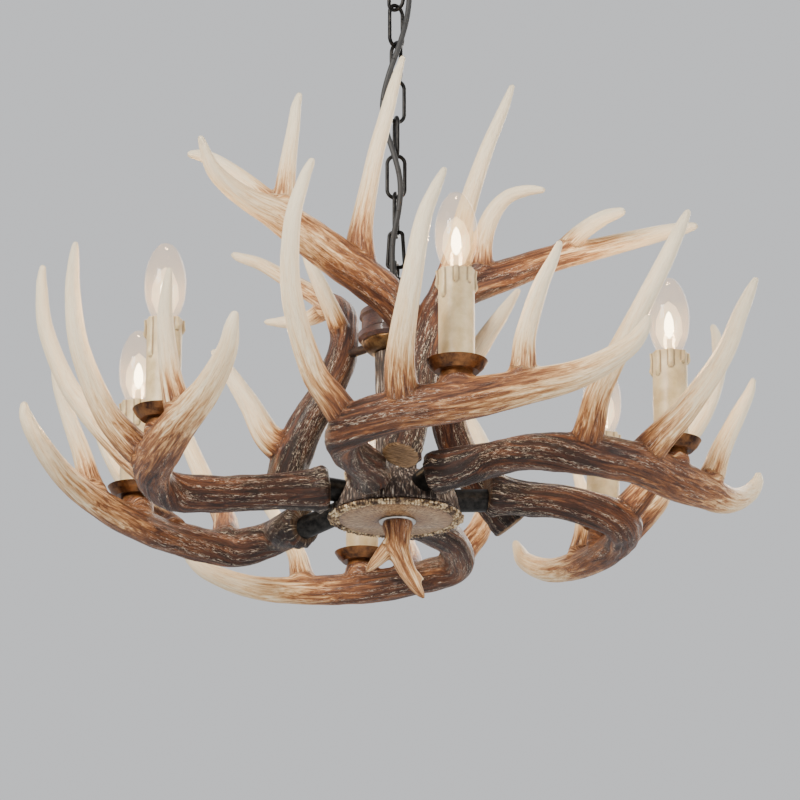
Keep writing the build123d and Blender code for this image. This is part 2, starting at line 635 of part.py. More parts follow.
# ---- candles --------------------------------------------------------------------
cup_floor = SEAT_FLAT + BOSS_HEIGHT
cup_rim = cup_floor + CUP_DEPTH
candle_bottom = cup_floor + CUP_WALL
candle_top = candle_bottom + CANDLE_HEIGHT
glass_bottom = candle_top - BULB_SUNK
bulb_tip = candle_top + BULB_SHOWN
holder_top = glass_bottom - FIT_CLEARANCE
holder_body = holder_top - HOLDER_HEIGHT
for arm in ARMS:
    seat_x, seat_y, seat_z, _ = seats[arm]
    axis_plane = Plane(origin=(seat_x, seat_y, seat_z), x_dir=(1, 0, 0), z_dir=(0, -1, 0))
    spin_axis = Axis((seat_x, seat_y, seat_z), (0, 0, 1))
    with BuildPart() as candle_cup:
        with BuildSketch(axis_plane):
            with BuildLine():
                Polyline(
                    (THREAD_DIAMETER / 2 + FIT_CLEARANCE, SEAT_FLAT),
                    (BOSS_DIAMETER / 2 - 1, SEAT_FLAT),
                    (BOSS_DIAMETER / 2, SEAT_FLAT + BOSS_HEIGHT / 2),
                    (BOSS_DIAMETER / 2 - 1.5, cup_floor),
                    (CUP_FLOOR_DIAMETER / 2, cup_floor),
                    (CUP_DIAMETER / 2 - 3, cup_floor + CUP_DEPTH * 0.45),
                    (CUP_DIAMETER / 2, cup_rim),
                    (CUP_DIAMETER / 2 - CUP_WALL, cup_rim + 0.4),
                    (CUP_DIAMETER / 2 - 3 - CUP_WALL, cup_floor + CUP_DEPTH * 0.5),
                    (CUP_FLOOR_DIAMETER / 2 - CUP_WALL, candle_bottom),
                    (THREAD_DIAMETER / 2 + FIT_CLEARANCE, candle_bottom),
                    close=True,
                )
            make_face()
        revolve(axis=spin_axis)
    save(candle_cup.part, f"candle_cup_{arm}")

    with BuildPart() as lamp_holder:
        with BuildSketch(axis_plane):
            with BuildLine():
                Polyline(
                    (0, SEAT_FLAT - NIPPLE_DEPTH),
                    (THREAD_DIAMETER / 2, SEAT_FLAT - NIPPLE_DEPTH),
                    (THREAD_DIAMETER / 2, candle_bottom),
                    (HOLDER_FOOT_DIAMETER / 2, candle_bottom),
                    (HOLDER_FOOT_DIAMETER / 2, candle_bottom + 3),
                    (HOLDER_STALK_DIAMETER / 2, candle_bottom + 4),
                    (HOLDER_STALK_DIAMETER / 2, holder_body),
                    (HOLDER_DIAMETER / 2, holder_body + 4),
                    (HOLDER_DIAMETER / 2, holder_top),
                    (HOLDER_BORE / 2, holder_top),
                    (HOLDER_BORE / 2, holder_top - BULB_CAP_LENGTH - 2),
                    (0, holder_top - BULB_CAP_LENGTH - 2),
                    close=True,
                )
            make_face()
        revolve(axis=spin_axis)
    save(lamp_holder.part, f"lamp_holder_{arm}")

    with BuildPart() as candle_sleeve:
        with BuildSketch(Plane.XY.offset(seat_z + candle_bottom)):
            with Locations((seat_x, seat_y)):
                Circle(CANDLE_DIAMETER / 2)
        extrude(amount=CANDLE_HEIGHT)
        for drip in range(DRIP_COUNT):
            angle = radians(360 / DRIP_COUNT * drip)
            length = 12 + DRIP_STEP * ((drip * 5) % DRIP_COUNT)
            drip_x = seat_x + (CANDLE_DIAMETER / 2 - 0.6) * cos(angle)
            drip_y = seat_y + (CANDLE_DIAMETER / 2 - 0.6) * sin(angle)
            with BuildSketch(Plane.XY.offset(seat_z + candle_top - 0.5)):
                with Locations((drip_x, drip_y)):
                    Circle(DRIP_RADIUS)
            extrude(amount=-length)
        with BuildSketch(Plane.XY.offset(seat_z + candle_bottom)):
            with Locations((seat_x, seat_y)):
                Circle(CANDLE_DIAMETER / 2 - CANDLE_WALL)
        extrude(amount=CANDLE_HEIGHT, mode=Mode.SUBTRACT)
    save(candle_sleeve.part, f"candle_sleeve_{arm}")

    with BuildPart() as bulb:
        with BuildSketch(axis_plane):
            with BuildLine():
                Polyline(
                    (0, bulb_tip),
                    (0, glass_bottom - BULB_CAP_LENGTH),
                    (3, glass_bottom - BULB_CAP_LENGTH),
                    (BULB_CAP_DIAMETER / 2, glass_bottom - BULB_CAP_LENGTH + 4),
                    (BULB_CAP_DIAMETER / 2, glass_bottom),
                    (BULB_NECK_DIAMETER / 2, glass_bottom),
                    (BULB_NECK_DIAMETER / 2, glass_bottom + 3),
                )
                Spline(
                    (BULB_NECK_DIAMETER / 2, glass_bottom + 3),
                    (BULB_DIAMETER / 2, glass_bottom + 25),
                    (8.5, glass_bottom + 53),
                    (2.2, bulb_tip - 3),
                    (0, bulb_tip),
                    tangents=[(0.25, 1), (-1, 0)],
                )
            make_face()
        revolve(axis=spin_axis)
        with BuildSketch(axis_plane):
            with BuildLine():
                Polyline(
                    (0, bulb_tip - 9),
                    (0, glass_bottom + BULB_STEM_HEIGHT),
                    (BULB_STEM_DIAMETER / 2, glass_bottom + BULB_STEM_HEIGHT - 2),
                    (BULB_STEM_DIAMETER / 2, glass_bottom + 5),
                    (BULB_NECK_DIAMETER / 2 - GLASS_WALL, glass_bottom + 5),
                )
                Spline(
                    (BULB_NECK_DIAMETER / 2 - GLASS_WALL, glass_bottom + 5),
                    (BULB_DIAMETER / 2 - GLASS_WALL, glass_bottom + 25),
                    (8.5 - GLASS_WALL, glass_bottom + 52),
                    (0, bulb_tip - 9),
                    tangents=[(0.35, 1), (-0.3, 1)],
                )
            make_face()
        revolve(axis=spin_axis, mode=Mode.SUBTRACT)
    save(bulb.part, f"bulb_{arm}")

# ---- power cord -------------------------------------------------------------------
cord_points = [Vector(*CANOPY_CORD_EXIT, -CANOPY_HEIGHT - GROMMET_HEIGHT)]
for x, y, z in CORD_WAY:
    cord_points.append(Vector(x, y, z))
cord_points.append(Vector(*COLLAR_CORD_ENTRY, collar_top_z + GROMMET_HEIGHT))
cord_radii = []
for before, here, after in zip(cord_points, cord_points[1:], cord_points[2:]):
    coming = here - before
    going = after - here
    turn = radians(coming.get_angle(going))
    cord_radii.append(0.45 * min(coming.length, going.length) / tan(turn / 2))
print("cord bend radii", [round(radius, 1) for radius in cord_radii])
print("cord runs", [round((b - a).length, 1) for a, b in zip(cord_points, cord_points[1:])])
with BuildPart() as power_cord:
    with BuildLine():
        cord_line = FilletPolyline(*cord_points, radius=cord_radii)
    with BuildSketch(Plane(origin=cord_line @ 0, z_dir=cord_line % 0)):
        Circle(CORD_DIAMETER / 2)
    sweep(path=cord_line)
cord_area = pi * CORD_DIAMETER ** 2 / 4
cord_volume_length = power_cord.part.volume / cord_area
print("cord length", round(cord_line.length, 1), "volume over area", round(cord_volume_length, 1))
save(power_cord.part, "power_cord")
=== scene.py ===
"""Six-light antler chandelier: surfaces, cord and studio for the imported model.

The frame is the part's own: origin at the ceiling, +Z up, -Y towards the
viewer. Lengths are in metres, apart from the stations of the antlers and the
points of the cord's route, which are in millimetres.
"""
import json
from math import atan2, cos, exp, pi, radians, sin, sqrt

import bmesh
import bpy
import numpy as np
from mathutils import Matrix, Vector, noise


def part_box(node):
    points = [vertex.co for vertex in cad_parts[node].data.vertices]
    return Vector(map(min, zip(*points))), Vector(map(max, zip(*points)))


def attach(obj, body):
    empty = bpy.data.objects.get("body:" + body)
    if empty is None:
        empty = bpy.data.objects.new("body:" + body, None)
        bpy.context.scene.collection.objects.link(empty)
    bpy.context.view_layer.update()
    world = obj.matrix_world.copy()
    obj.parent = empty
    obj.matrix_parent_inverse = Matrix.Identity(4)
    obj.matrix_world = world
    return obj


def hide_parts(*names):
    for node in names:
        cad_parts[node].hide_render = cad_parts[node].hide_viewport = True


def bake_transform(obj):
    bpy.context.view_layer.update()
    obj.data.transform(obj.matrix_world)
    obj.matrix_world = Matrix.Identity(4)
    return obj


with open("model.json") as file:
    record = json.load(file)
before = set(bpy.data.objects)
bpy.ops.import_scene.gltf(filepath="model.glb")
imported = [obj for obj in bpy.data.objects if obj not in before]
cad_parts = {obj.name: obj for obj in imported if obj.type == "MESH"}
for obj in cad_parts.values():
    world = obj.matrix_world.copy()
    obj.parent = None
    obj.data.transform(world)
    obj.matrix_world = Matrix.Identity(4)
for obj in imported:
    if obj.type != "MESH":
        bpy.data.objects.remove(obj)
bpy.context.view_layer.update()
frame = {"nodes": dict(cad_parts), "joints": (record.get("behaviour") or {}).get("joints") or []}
NODES = frame["nodes"]

MM = 0.001
SITES = ("front", "front_right", "rear_right", "rear", "rear_left", "front_left")
LINKS = [f"link_{index}" for index in range(1, 8)]

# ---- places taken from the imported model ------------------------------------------
COLLAR_ABOVE_DATUM = 0.085
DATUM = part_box("top_collar")[1][2] - COLLAR_ABOVE_DATUM
CHAIN = [Vector(joint["pos_m"]) for joint in frame["joints"] if joint["name"].startswith("chain")]


def add_object(name, data):
    made = bpy.data.objects.new(name, data)
    bpy.context.scene.collection.objects.link(made)
    return made


# ---- camera: below the arms, looking up --------------------------------------------
CAMERA_RISE = radians(18)
CAMERA_DISTANCE = 3.5
CAMERA_SHIFT_RIGHT = 0.00347
LENS = 181.8
SENSOR_WIDTH = 36
VIEW_END = 60
camera_data = bpy.data.cameras.new("camera")
camera_data.lens = LENS
camera_data.sensor_width = SENSOR_WIDTH
camera_data.clip_end = VIEW_END
camera = add_object("camera", camera_data)
camera.location = (
    CAMERA_SHIFT_RIGHT,
    -CAMERA_DISTANCE * cos(CAMERA_RISE),
    DATUM - CAMERA_DISTANCE * sin(CAMERA_RISE),
)
camera.rotation_euler = (pi / 2 + CAMERA_RISE, 0, 0)
bpy.context.scene.camera = camera


# ---- material helpers ----------------------------------------------------------------
def new_material(name, colour=(0.5, 0.5, 0.5), roughness=0.5, metallic=0.0, **sockets):
    """A principled material; further sockets are named by keyword."""
    material = bpy.data.materials.new(name)
    material.use_nodes = True
    shader = material.node_tree.nodes["Principled BSDF"]
    shader.inputs["Base Color"].default_value = (*colour, 1)
    shader.inputs["Roughness"].default_value = roughness
    shader.inputs["Metallic"].default_value = metallic
    for key, value in sockets.items():
        shader.inputs[key.replace("_", " ")].default_value = value
    return material


class Nodes:
    """Short calls for building a material's node tree."""

    def __init__(self, material):
        self.tree = material.node_tree
        self.shader = self.tree.nodes["Principled BSDF"]

    def node(self, kind, **settings):
        made = self.tree.nodes.new(kind)
        for key, value in settings.items():
            setattr(made, key, value)
        return made

    def link(self, source, target):
        self.tree.links.new(source, target)

    def attribute(self, name, output="Fac"):
        return self.node("ShaderNodeAttribute", attribute_name=name).outputs[output]

    def position(self):
        return self.node("ShaderNodeTexCoord").outputs["Object"]

    def stretched(self, scale, rotation=(0, 0, 0)):
        """The position, turned and then scaled along each axis."""
        mapping = self.node("ShaderNodeMapping")
        mapping.inputs["Rotation"].default_value = rotation
        mapping.inputs["Scale"].default_value = scale
        self.link(self.position(), mapping.inputs["Vector"])
        return mapping.outputs["Vector"]

    def noise(self, vector, scale, detail=4.0, roughness=0.6, distortion=0.0):
        made = self.node("ShaderNodeTexNoise")
        self.link(vector, made.inputs["Vector"])
        made.inputs["Scale"].default_value = scale
        made.inputs["Detail"].default_value = detail
        made.inputs["Roughness"].default_value = roughness
        made.inputs["Distortion"].default_value = distortion
        return made.outputs["Fac"]

    def ramp(self, factor, *stops):
        made = self.node("ShaderNodeValToRGB")
        elements = made.color_ramp.elements
        while len(elements) < len(stops):
            elements.new(0.5)
        for element, (place, colour) in zip(elements, stops):
            element.position = place
            element.color = (*colour, 1)
        self.link(factor, made.inputs["Fac"])
        return made.outputs["Color"]

    def grey(self, factor, low, high, dark=0.0, light=1.0):
        """Factor stretched so that low gives dark and high gives light."""
        made = self.node("ShaderNodeMapRange")
        made.inputs["From Min"].default_value = low
        made.inputs["From Max"].default_value = high
        made.inputs["To Min"].default_value = dark
        made.inputs["To Max"].default_value = light
        self.link(factor, made.inputs["Value"])
        return made.outputs["Result"]

    def mix(self, factor, first, second, blend="MIX"):
        """Two colours mixed; each value is a plain one or another node's output."""
        made = self.node("ShaderNodeMix", data_type="RGBA", blend_type=blend)
        for key, value in (("Factor", factor), ("A", first), ("B", second)):
            if isinstance(value, tuple):
                made.inputs[key].default_value = (*value, 1)
            elif isinstance(value, float):
                made.inputs[key].default_value = value
            else:
                self.link(value, made.inputs[key])
        return made.outputs["Result"]

    def math(self, operation, first, second=0.0):
        made = self.node("ShaderNodeMath", operation=operation)
        for socket, value in zip(made.inputs, (first, second)):
            if isinstance(value, float):
                socket.default_value = value
            else:
                self.link(value, socket)
        return made.outputs["Value"]

    def times(self, first, second):
        return self.math("MULTIPLY", first, second)

    def plus(self, first, second):
        return self.math("ADD", first, second)

    def colour(self, source):
        self.link(source, self.shader.inputs["Base Color"])

    def roughness(self, source):
        self.link(source, self.shader.inputs["Roughness"])

    def bump(self, height, distance, strength=1.0):
        made = self.node("ShaderNodeBump")
        made.inputs["Distance"].default_value = distance
        made.inputs["Strength"].default_value = strength
        self.link(height, made.inputs["Height"])
        self.link(made.outputs["Normal"], self.shader.inputs["Normal"])


# ---- materials -------------------------------------------------------------------------
def antler_material():
    """Dark roots that pale to ivory tips, with rubbed ridges and sawn ends."""
    material = new_material("antler", roughness=0.45, Specular_IOR_Level=0.28, Coat_Weight=0.04)
    n = Nodes(material)
    grain = n.attribute("grain", "Vector")
    tone = n.attribute("tone")
    relief = n.attribute("relief")
    face = n.attribute("face")
    broad = n.noise(grain, 1.1, 3.0, 0.6, 0.8)
    streak = n.noise(grain, 4.6, 7.0, 0.7, 0.9)
    fine = n.noise(grain, 13.0, 5.0, 0.72, 0.6)
    # how far the brown of the root reaches, broken up along the grain
    patch = n.times(n.grey(broad, 0.3, 0.7, -0.16, 0.16), n.grey(tone, 0.0, 0.3))
    reach = n.times(n.grey(streak, 0.3, 0.7, -0.30, 0.30), n.grey(tone, 0.0, 0.35, 0.2, 1.0))
    body = n.ramp(
        n.plus(n.plus(tone, patch), reach),
        (0.02, (0.93, 0.80, 0.57)),
        (0.15, (0.86, 0.64, 0.37)),
        (0.28, (0.60, 0.33, 0.135)),
        (0.42, (0.27, 0.105, 0.036)),
        (0.58, (0.125, 0.044, 0.017)),
        (0.76, (0.048, 0.016, 0.008)),
        (0.96, (0.012, 0.005, 0.003)),
    )
    hairs = n.ramp(fine, (0.36, (0.35, 0.24, 0.15)), (0.5, (1.0, 1.0, 1.0)))
    fading = n.mix(n.grey(tone, 0.0, 0.3, 0.25, 0.8), (1.0, 1.0, 1.0), hairs)
    lined = n.mix(0.7, body, fading, "MULTIPLY")
    # thin pale lines where the ridges are rubbed, and dark hollows between them
    flecks = n.grey(n.noise(grain, 21.0, 4.0, 0.7, 1.2), 0.56, 0.61)
    crest = n.times(n.grey(relief, 0.22, 0.55), flecks)
    rubbed = n.mix(n.times(crest, n.grey(tone, 0.08, 0.5, 0.1, 0.72)), lined, (0.74, 0.62, 0.47))
    hollow = n.times(n.grey(relief, -0.15, -0.6), n.grey(tone, 0.15, 0.6, 0.0, 0.8))
    shaded = n.mix(hollow, rubbed, (0.014, 0.007, 0.005))
    saw = n.noise(n.stretched((1, 9, 1), (0.5, 0.3, 0.7)), 130.0, 4.0, 0.6)
    sawn = n.ramp(saw, (0.38, (0.085, 0.042, 0.018)), (0.62, (0.30, 0.18, 0.085)))
    n.colour(n.mix(face, shaded, sawn))
    n.roughness(n.grey(fine, 0.3, 0.7, 0.32, 0.58))
    n.bump(n.plus(streak, n.times(fine, 0.5)), 0.0012)
    return material


def bark_material():
    """Near black, with upright streaks rubbed pale."""
    material = new_material("bark", roughness=0.55)
    n = Nodes(material)
    streak = n.noise(n.stretched((1, 1, 0.1)), 560.0, 4.0, 0.62, 0.5)
    n.colour(n.ramp(
        streak,
        (0.38, (0.010, 0.006, 0.005)),
        (0.51, (0.040, 0.022, 0.014)),
        (0.58, (0.15, 0.105, 0.08)),
        (0.66, (0.50, 0.43, 0.35)),
    ))
    n.bump(streak, 0.002)
    return material


def cap_material():
    """Tan face with fine lines that run out from the centre."""
    material = new_material("cap_face", roughness=0.42, Coat_Weight=0.2)
    n = Nodes(material)
    parts = n.node("ShaderNodeSeparateXYZ")
    n.link(n.position(), parts.inputs["Vector"])
    east, north = parts.outputs["X"], parts.outputs["Y"]
    turn = n.math("ARCTAN2", north, east)
    out = n.math("SQRT", n.plus(n.times(east, east), n.times(north, north)))
    join = n.node("ShaderNodeCombineXYZ")
    n.link(n.times(turn, 9.0), join.inputs["X"])
    n.link(n.times(out, 60.0), join.inputs["Y"])
    ray = n.noise(join.outputs["Vector"], 3.0, 5.0, 0.65, 0.4)
    face = n.ramp(
        ray,
        (0.36, (0.09, 0.045, 0.018)),
        (0.5, (0.28, 0.165, 0.075)),
        (0.64, (0.55, 0.39, 0.22)),
    )
    rim = n.ramp(
        n.times(out, 16.0),
        (0.20, (0.30, 0.22, 0.16)),
        (0.36, (0.80, 0.66, 0.50)),
        (0.56, (1.0, 1.0, 1.0)),
        (0.74, (0.80, 0.68, 0.52)),
        (0.84, (0.18, 0.12, 0.08)),
    )
    n.colour(n.mix(1.0, face, rim, "MULTIPLY"))
    n.bump(ray, 0.0008)
    return material


def pearl_material():
    """Cream beads with brown in their hollows."""
    material = new_material("pearl", roughness=0.4)
    n = Nodes(material)
    n.colour(n.ramp(
        n.noise(n.position(), 160.0),
        (0.42, (0.06, 0.03, 0.013)),
        (0.52, (0.38, 0.25, 0.12)),
        (0.62, (0.74, 0.60, 0.38)),
    ))
    n.bump(n.noise(n.position(), 900.0, 3.0), 0.0004)
    return material


def cloudy_material(name, dark, light, roughness, metallic, scale=240.0):
    """Metal, rubber or enamel with an uneven, slightly worn finish."""
    material = new_material(name, roughness=roughness, metallic=metallic)
    n = Nodes(material)
    cloud = n.noise(n.position(), scale, 5.0, 0.65)
    n.colour(n.ramp(cloud, (0.35, dark), (0.65, light)))
    n.roughness(n.grey(cloud, 0.3, 0.7, roughness - 0.08, roughness + 0.1))
    n.bump(cloud, 0.0002, 0.4)
    return material


def wood_material():
    """Dark red-brown lacquer with rings across the turning."""
    material = new_material("turned_brown", roughness=0.35, Coat_Weight=0.3)
    n = Nodes(material)
    rings = n.noise(n.stretched((1, 1, 4)), 90.0, 5.0, 0.65, 1.5)
    n.colour(n.ramp(
        rings,
        (0.3, (0.020, 0.007, 0.004)),
        (0.55, (0.080, 0.026, 0.013)),
        (0.75, (0.19, 0.08, 0.04)),
    ))
    n.bump(rings, 0.0004)
    return material


def wax_material():
    """Cream wax, with painted shade where the mesh marks the crevice round each run."""
    material = new_material(
        "candle_cream", roughness=0.42, Subsurface_Weight=0.25,
        Subsurface_Radius=(0.006, 0.004, 0.002),
    )
    n = Nodes(material)
    wax = n.ramp(n.noise(n.position(), 70.0), (0.35, (0.52, 0.38, 0.19)), (0.65, (0.70, 0.56, 0.32)))
    # painted shade: dark brown mixed in along the crevice round each run of wax
    n.colour(n.mix(n.attribute("crevice_shade"), wax, (0.13, 0.065, 0.022)))
    n.bump(n.noise(n.position(), 500.0, 3.0), 0.0003, 0.5)
    return material


def glow_material(name, colour, strength, alpha=1.0):
    return new_material(
        name, (0.02, 0.02, 0.02), 0.4,
        Emission_Color=(*colour, 1), Emission_Strength=strength, Alpha=alpha,
    )


ANTLER = antler_material()
BARK = bark_material()
CAP_FACE = cap_material()
PEARL = pearl_material()
BLACK = cloudy_material("black_metal", (0.006, 0.006, 0.006), (0.03, 0.028, 0.026), 0.4, 0.85)
ZINC = cloudy_material("zinc", (0.42, 0.42, 0.41), (0.68, 0.68, 0.66), 0.35, 0.95)
GOLD = cloudy_material("gold", (0.03, 0.013, 0.006), (0.22, 0.12, 0.045), 0.36, 0.8, 120.0)
BRONZE = cloudy_material("bronze", (0.035, 0.013, 0.006), (0.24, 0.10, 0.032), 0.34, 0.7, 90.0)
DARK = cloudy_material("dark_rod", (0.012, 0.007, 0.005), (0.07, 0.035, 0.02), 0.5, 0.3)
WOOD = wood_material()
WAX = wax_material()
GLASS = new_material("bulb_glass", (0.26, 0.22, 0.15), 0.02, Specular_IOR_Level=1.0, Alpha=0.17)
STEM_GLASS = new_material("stem_glass", (0.20, 0.19, 0.17), 0.1, Alpha=0.3)
HOLDER = cloudy_material("holder_white", (0.74, 0.70, 0.62), (0.86, 0.83, 0.76), 0.35, 0.0)
CORD = cloudy_material("cord_black", (0.012, 0.012, 0.012), (0.03, 0.03, 0.03), 0.6, 0.0)
CAP_METAL = cloudy_material("lamp_cap", (0.45, 0.43, 0.40), (0.75, 0.72, 0.66), 0.3, 1.0)
FILAMENT = glow_material("filament", (1.0, 0.62, 0.25), 60.0)
GLOW = glow_material("glow", (1.0, 0.82, 0.52), 12.0)
HALO = glow_material("halo", (1.0, 0.74, 0.40), 6.0, 0.10)


def dress(material, *names):
    """Give a CAD node, or several, another material."""
    for name in names:
        for holder in NODES[name].material_slots:
            holder.material = material


def stand_in(piece, node, body="fixture"):
    """Let a piece take a CAD node's place, on a body."""
    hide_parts(node)
    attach(piece, body)


# ---- mesh helpers ------------------------------------------------------------------------
def finish_mesh(mesh, material):
    mesh.materials.clear()
    mesh.materials.append(material)
    mesh.polygons.foreach_set("use_smooth", [True] * len(mesh.polygons))


def mesh_object(name, points, faces, material):
    mesh = bpy.data.meshes.new(name)
    mesh.from_pydata([tuple(point) for point in points], [], faces)
    mesh.validate()
    finish_mesh(mesh, material)
    return add_object(name, mesh)


def shape_object(name, shape, material):
    """An object from an open bmesh, which is freed."""
    mesh = bpy.data.meshes.new(name)
    shape.to_mesh(mesh)
    shape.free()
    finish_mesh(mesh, material)
    return add_object(name, mesh)


def circle(centre, radius, height, steps):
    return [
        (centre[0] + radius * cos(2 * pi * step / steps),
         centre[1] + radius * sin(2 * pi * step / steps), centre[2] + height)
        for step in range(steps)
    ]


def quads(rows, steps):
    """Faces between neighbouring rows of points, each row a closed round of steps."""
    return [
        (here * steps + step, here * steps + (step + 1) % steps,
         there * steps + (step + 1) % steps, there * steps + step)
        for here, there in zip(rows, rows[1:])
        for step in range(steps)
    ]


def lathe(name, profile, centre, material, steps=64):
    """Turn (radius, height) points round an upright axis through centre."""
    points = [point for radius, height in profile for point in circle(centre, radius, height, steps)]
    made = mesh_object(name, points, quads(range(len(profile)), steps), material)
    shape = bmesh.new()
    shape.from_mesh(made.data)
    bmesh.ops.remove_doubles(shape, verts=shape.verts, dist=1e-6)
    bmesh.ops.dissolve_degenerate(shape, edges=shape.edges, dist=1e-6)
    bmesh.ops.recalc_face_normals(shape, faces=shape.faces)
    shape.to_mesh(made.data)
    shape.free()
    return made


def ring(shape, centre, across, up, steps):
    """New points of a bmesh round an oval with the two vectors as half axes."""
    return [
        shape.verts.new(centre + cos(2 * pi * step / steps) * across + sin(2 * pi * step / steps) * up)
        for step in range(steps)
    ]


def skin_rings(shape, rings):
    """Faces between neighbouring rings, and a flat end on the first."""
    for here, there in zip(rings, rings[1:]):
        for step in range(len(here)):
            turn = (step + 1) % len(here)
            shape.faces.new((here[step], here[turn], there[turn], there[step]))
    shape.faces.new(list(reversed(rings[0])))


def curve_through(stations, spacing):
    """Points, radii, flatness and distances along a line through (x, y, z, r, flat)."""
    keys = np.array([(*station, 1.0)[:5] for station in stations], float)
    ends = np.vstack([2 * keys[0] - keys[1], keys, 2 * keys[-1] - keys[-2]])
    rows = []
    for first, second, third, fourth in zip(ends, ends[1:], ends[2:], ends[3:]):
        count = max(2, int(np.linalg.norm(third[:3] - second[:3]) / spacing))
        for step in range(count):
            t = step / count
            rows.append(0.5 * (
                2 * second + (third - first) * t
                + (2 * first - 5 * second + 4 * third - fourth) * t ** 2
                + (3 * second - first - 3 * third + fourth) * t ** 3
            ))
    rows.append(keys[-1])
    rows = np.array(rows)
    points, radii = rows[:, :3], np.clip(rows[:, 3], THINNEST, None)
    along = np.concatenate([[0], np.cumsum(np.linalg.norm(np.diff(points, axis=0), axis=1))])
    return points, radii, rows[:, 4], along


def profile_through(corners, spacing):
    """A smooth (radius, height) profile through corners."""
    line = curve_through([(radius, 0, height, 1) for radius, height in corners], spacing)[0]
    return [(max(point[0], 0.0), point[2]) for point in line]


def steady_frames(points, lean=None):
    """Tangents and two side vectors, steady along the line or nearest to a lean."""
    tangents = np.gradient(points, axis=0)
    tangents /= np.linalg.norm(tangents, axis=1)[:, None]
    sides = []
    side = np.array([0.31, 0.17, 0.94])
    for tangent in tangents:
        if lean is not None:
            side = np.array(lean)
        side = side - tangent * np.dot(side, tangent)
        side /= np.linalg.norm(side)
        sides.append(side)
    sides = np.array(sides)
    return tangents, sides, np.cross(tangents, sides)


# ---- antlers: how they are made --------------------------------------------------------------
VOXEL = 0.0016
THINNEST = 0.0012
STATION_SPACING = 0.003
TUBE_SIDES = 28
TIP_REACH = 0.6
PAD_SIDES = 32
PAD_RADIUS = 0.0152
PAD_TOP = 0.0205
PAD_CHAMFER = 0.002
# a tine starts inside its beam, for about this far along its line
BURIED_ROOT = 0.017
# beams of this half width or more have grooves of full depth
FULL_GIRTH = 0.017
GROOVE_DEPTH = 0.0010
GRAIN_LENGTH = 0.13
BURR_PLACE = 0.007
BURR_SPREAD = 0.006
BURR_RISE = 0.0009
PEARL_RISE = 0.0028
SAWN_DEPTH = 0.0012
TONE_ROUNDS = 60
SHIFT_ROUNDS = 1
# share of the length from the root, then how brown the skin is there
BEAM_TONE = ((0.0, 0.12, 0.3, 0.5, 0.66, 0.82, 1.0), (0.96, 0.86, 0.74, 0.60, 0.42, 0.16, 0.02))
TINE_TONE = ((0.0, 0.12, 0.24, 0.40, 0.7, 1.0), (0.58, 0.42, 0.22, 0.09, 0.03, 0.0))


class Branch:
    """The line of a beam or tine, with what its surface needs."""

    def __init__(self, stations, is_beam, seed, lean):
        self.points, self.radii, self.flats, self.along = curve_through(stations, STATION_SPACING)
        self.tangents, self.sides, self.ups = steady_frames(self.points, lean)
        self.is_beam = is_beam
        self.seed = seed
        self.length = self.along[-1]


def add_branch(shape, branch):
    """Add a branch to an open bmesh, with a rounded tip and a flat root."""
    points = branch.points
    rings = [
        ring(shape, point, radius * side, radius * flat * up, TUBE_SIDES)
        for point, radius, flat, side, up in zip(
            points, branch.radii, branch.flats, branch.sides, branch.ups)
    ]
    skin_rings(shape, rings)
    tip = shape.verts.new(points[-1] + (points[-1] - points[-2]) * TIP_REACH)
    for step in range(TUBE_SIDES):
        shape.faces.new((rings[-1][step], rings[-1][(step + 1) % TUBE_SIDES], tip))


def add_pad(shape, seat):
    """An upright drum that melts into the beam under a candle."""
    top = seat.z + PAD_TOP
    rings = [
        ring(shape, np.array((seat.x, seat.y, level)), np.array((radius, 0, 0)),
             np.array((0, radius, 0)), PAD_SIDES)
        for level, radius in (
            (seat.z, PAD_RADIUS), (top - PAD_CHAMFER, PAD_RADIUS), (top, 0.9 * PAD_RADIUS))
    ]
    skin_rings(shape, rings)
    shape.faces.new(rings[-1])


def remeshed(name, shape, material):
    """One closed skin round everything in a bmesh, as an object."""
    made = shape_object(name, shape, material)
    rough = made.data
    remesh = made.modifiers.new("skin", "REMESH")
    remesh.mode = "VOXEL"
    remesh.voxel_size = VOXEL
    smoothing = made.modifiers.new("soften", "SMOOTH")
    smoothing.factor = 0.5
    smoothing.iterations = 7
    graph = bpy.context.evaluated_depsgraph_get()
    final = bpy.data.meshes.new_from_object(made.evaluated_get(graph))
    made.modifiers.clear()
    made.data = final
    bpy.data.meshes.remove(rough)
    finish_mesh(final, material)
    return made


def nearest_on(branches, skin):
    """For each skin point: its branch and its place along it."""
    count = len(skin)
    best = np.full(count, 1e9)
    which = np.zeros(count, int)
    place = np.zeros(count, int)
    batch = 4000
    for index, branch in enumerate(branches):
        for start in range(0, count, batch):
            part = skin[start:start + batch]
            gaps = np.linalg.norm(part[:, None, :] - branch.points[None], axis=2)
            at = gaps.argmin(axis=1)
            spoke = part - branch.points[at]
            wide = np.einsum("ij,ij->i", spoke, branch.sides[at])
            thick = np.einsum("ij,ij->i", spoke, branch.ups[at]) / branch.flats[at]
            off = np.abs(np.hypot(wide, thick) - branch.radii[at])
            if not branch.is_beam:
                # a tine's buried root leaves the beam's skin to the beam
                off = off + np.clip(BURIED_ROOT - branch.along[at], 0, None)
            window = slice(start, start + len(part))
            closer = off < best[window]
            best[window] = np.where(closer, off, best[window])
            which[window] = np.where(closer, index, which[window])
            place[window] = np.where(closer, at, place[window])
    return which, place


def averaged(mesh, values, rounds):
    """A value averaged over neighbouring points, some rounds over."""
    ends = np.empty(len(mesh.edges) * 2, np.int64)
    mesh.edges.foreach_get("vertices", ends)
    first, second = ends[::2], ends[1::2]
    count = len(values)
    near = np.bincount(first, minlength=count) + np.bincount(second, minlength=count)
    for _ in range(rounds):
        total = (np.bincount(first, values[second], count)
                 + np.bincount(second, values[first], count))
        values = 0.5 * values + 0.5 * total / np.maximum(near, 1)
    return values


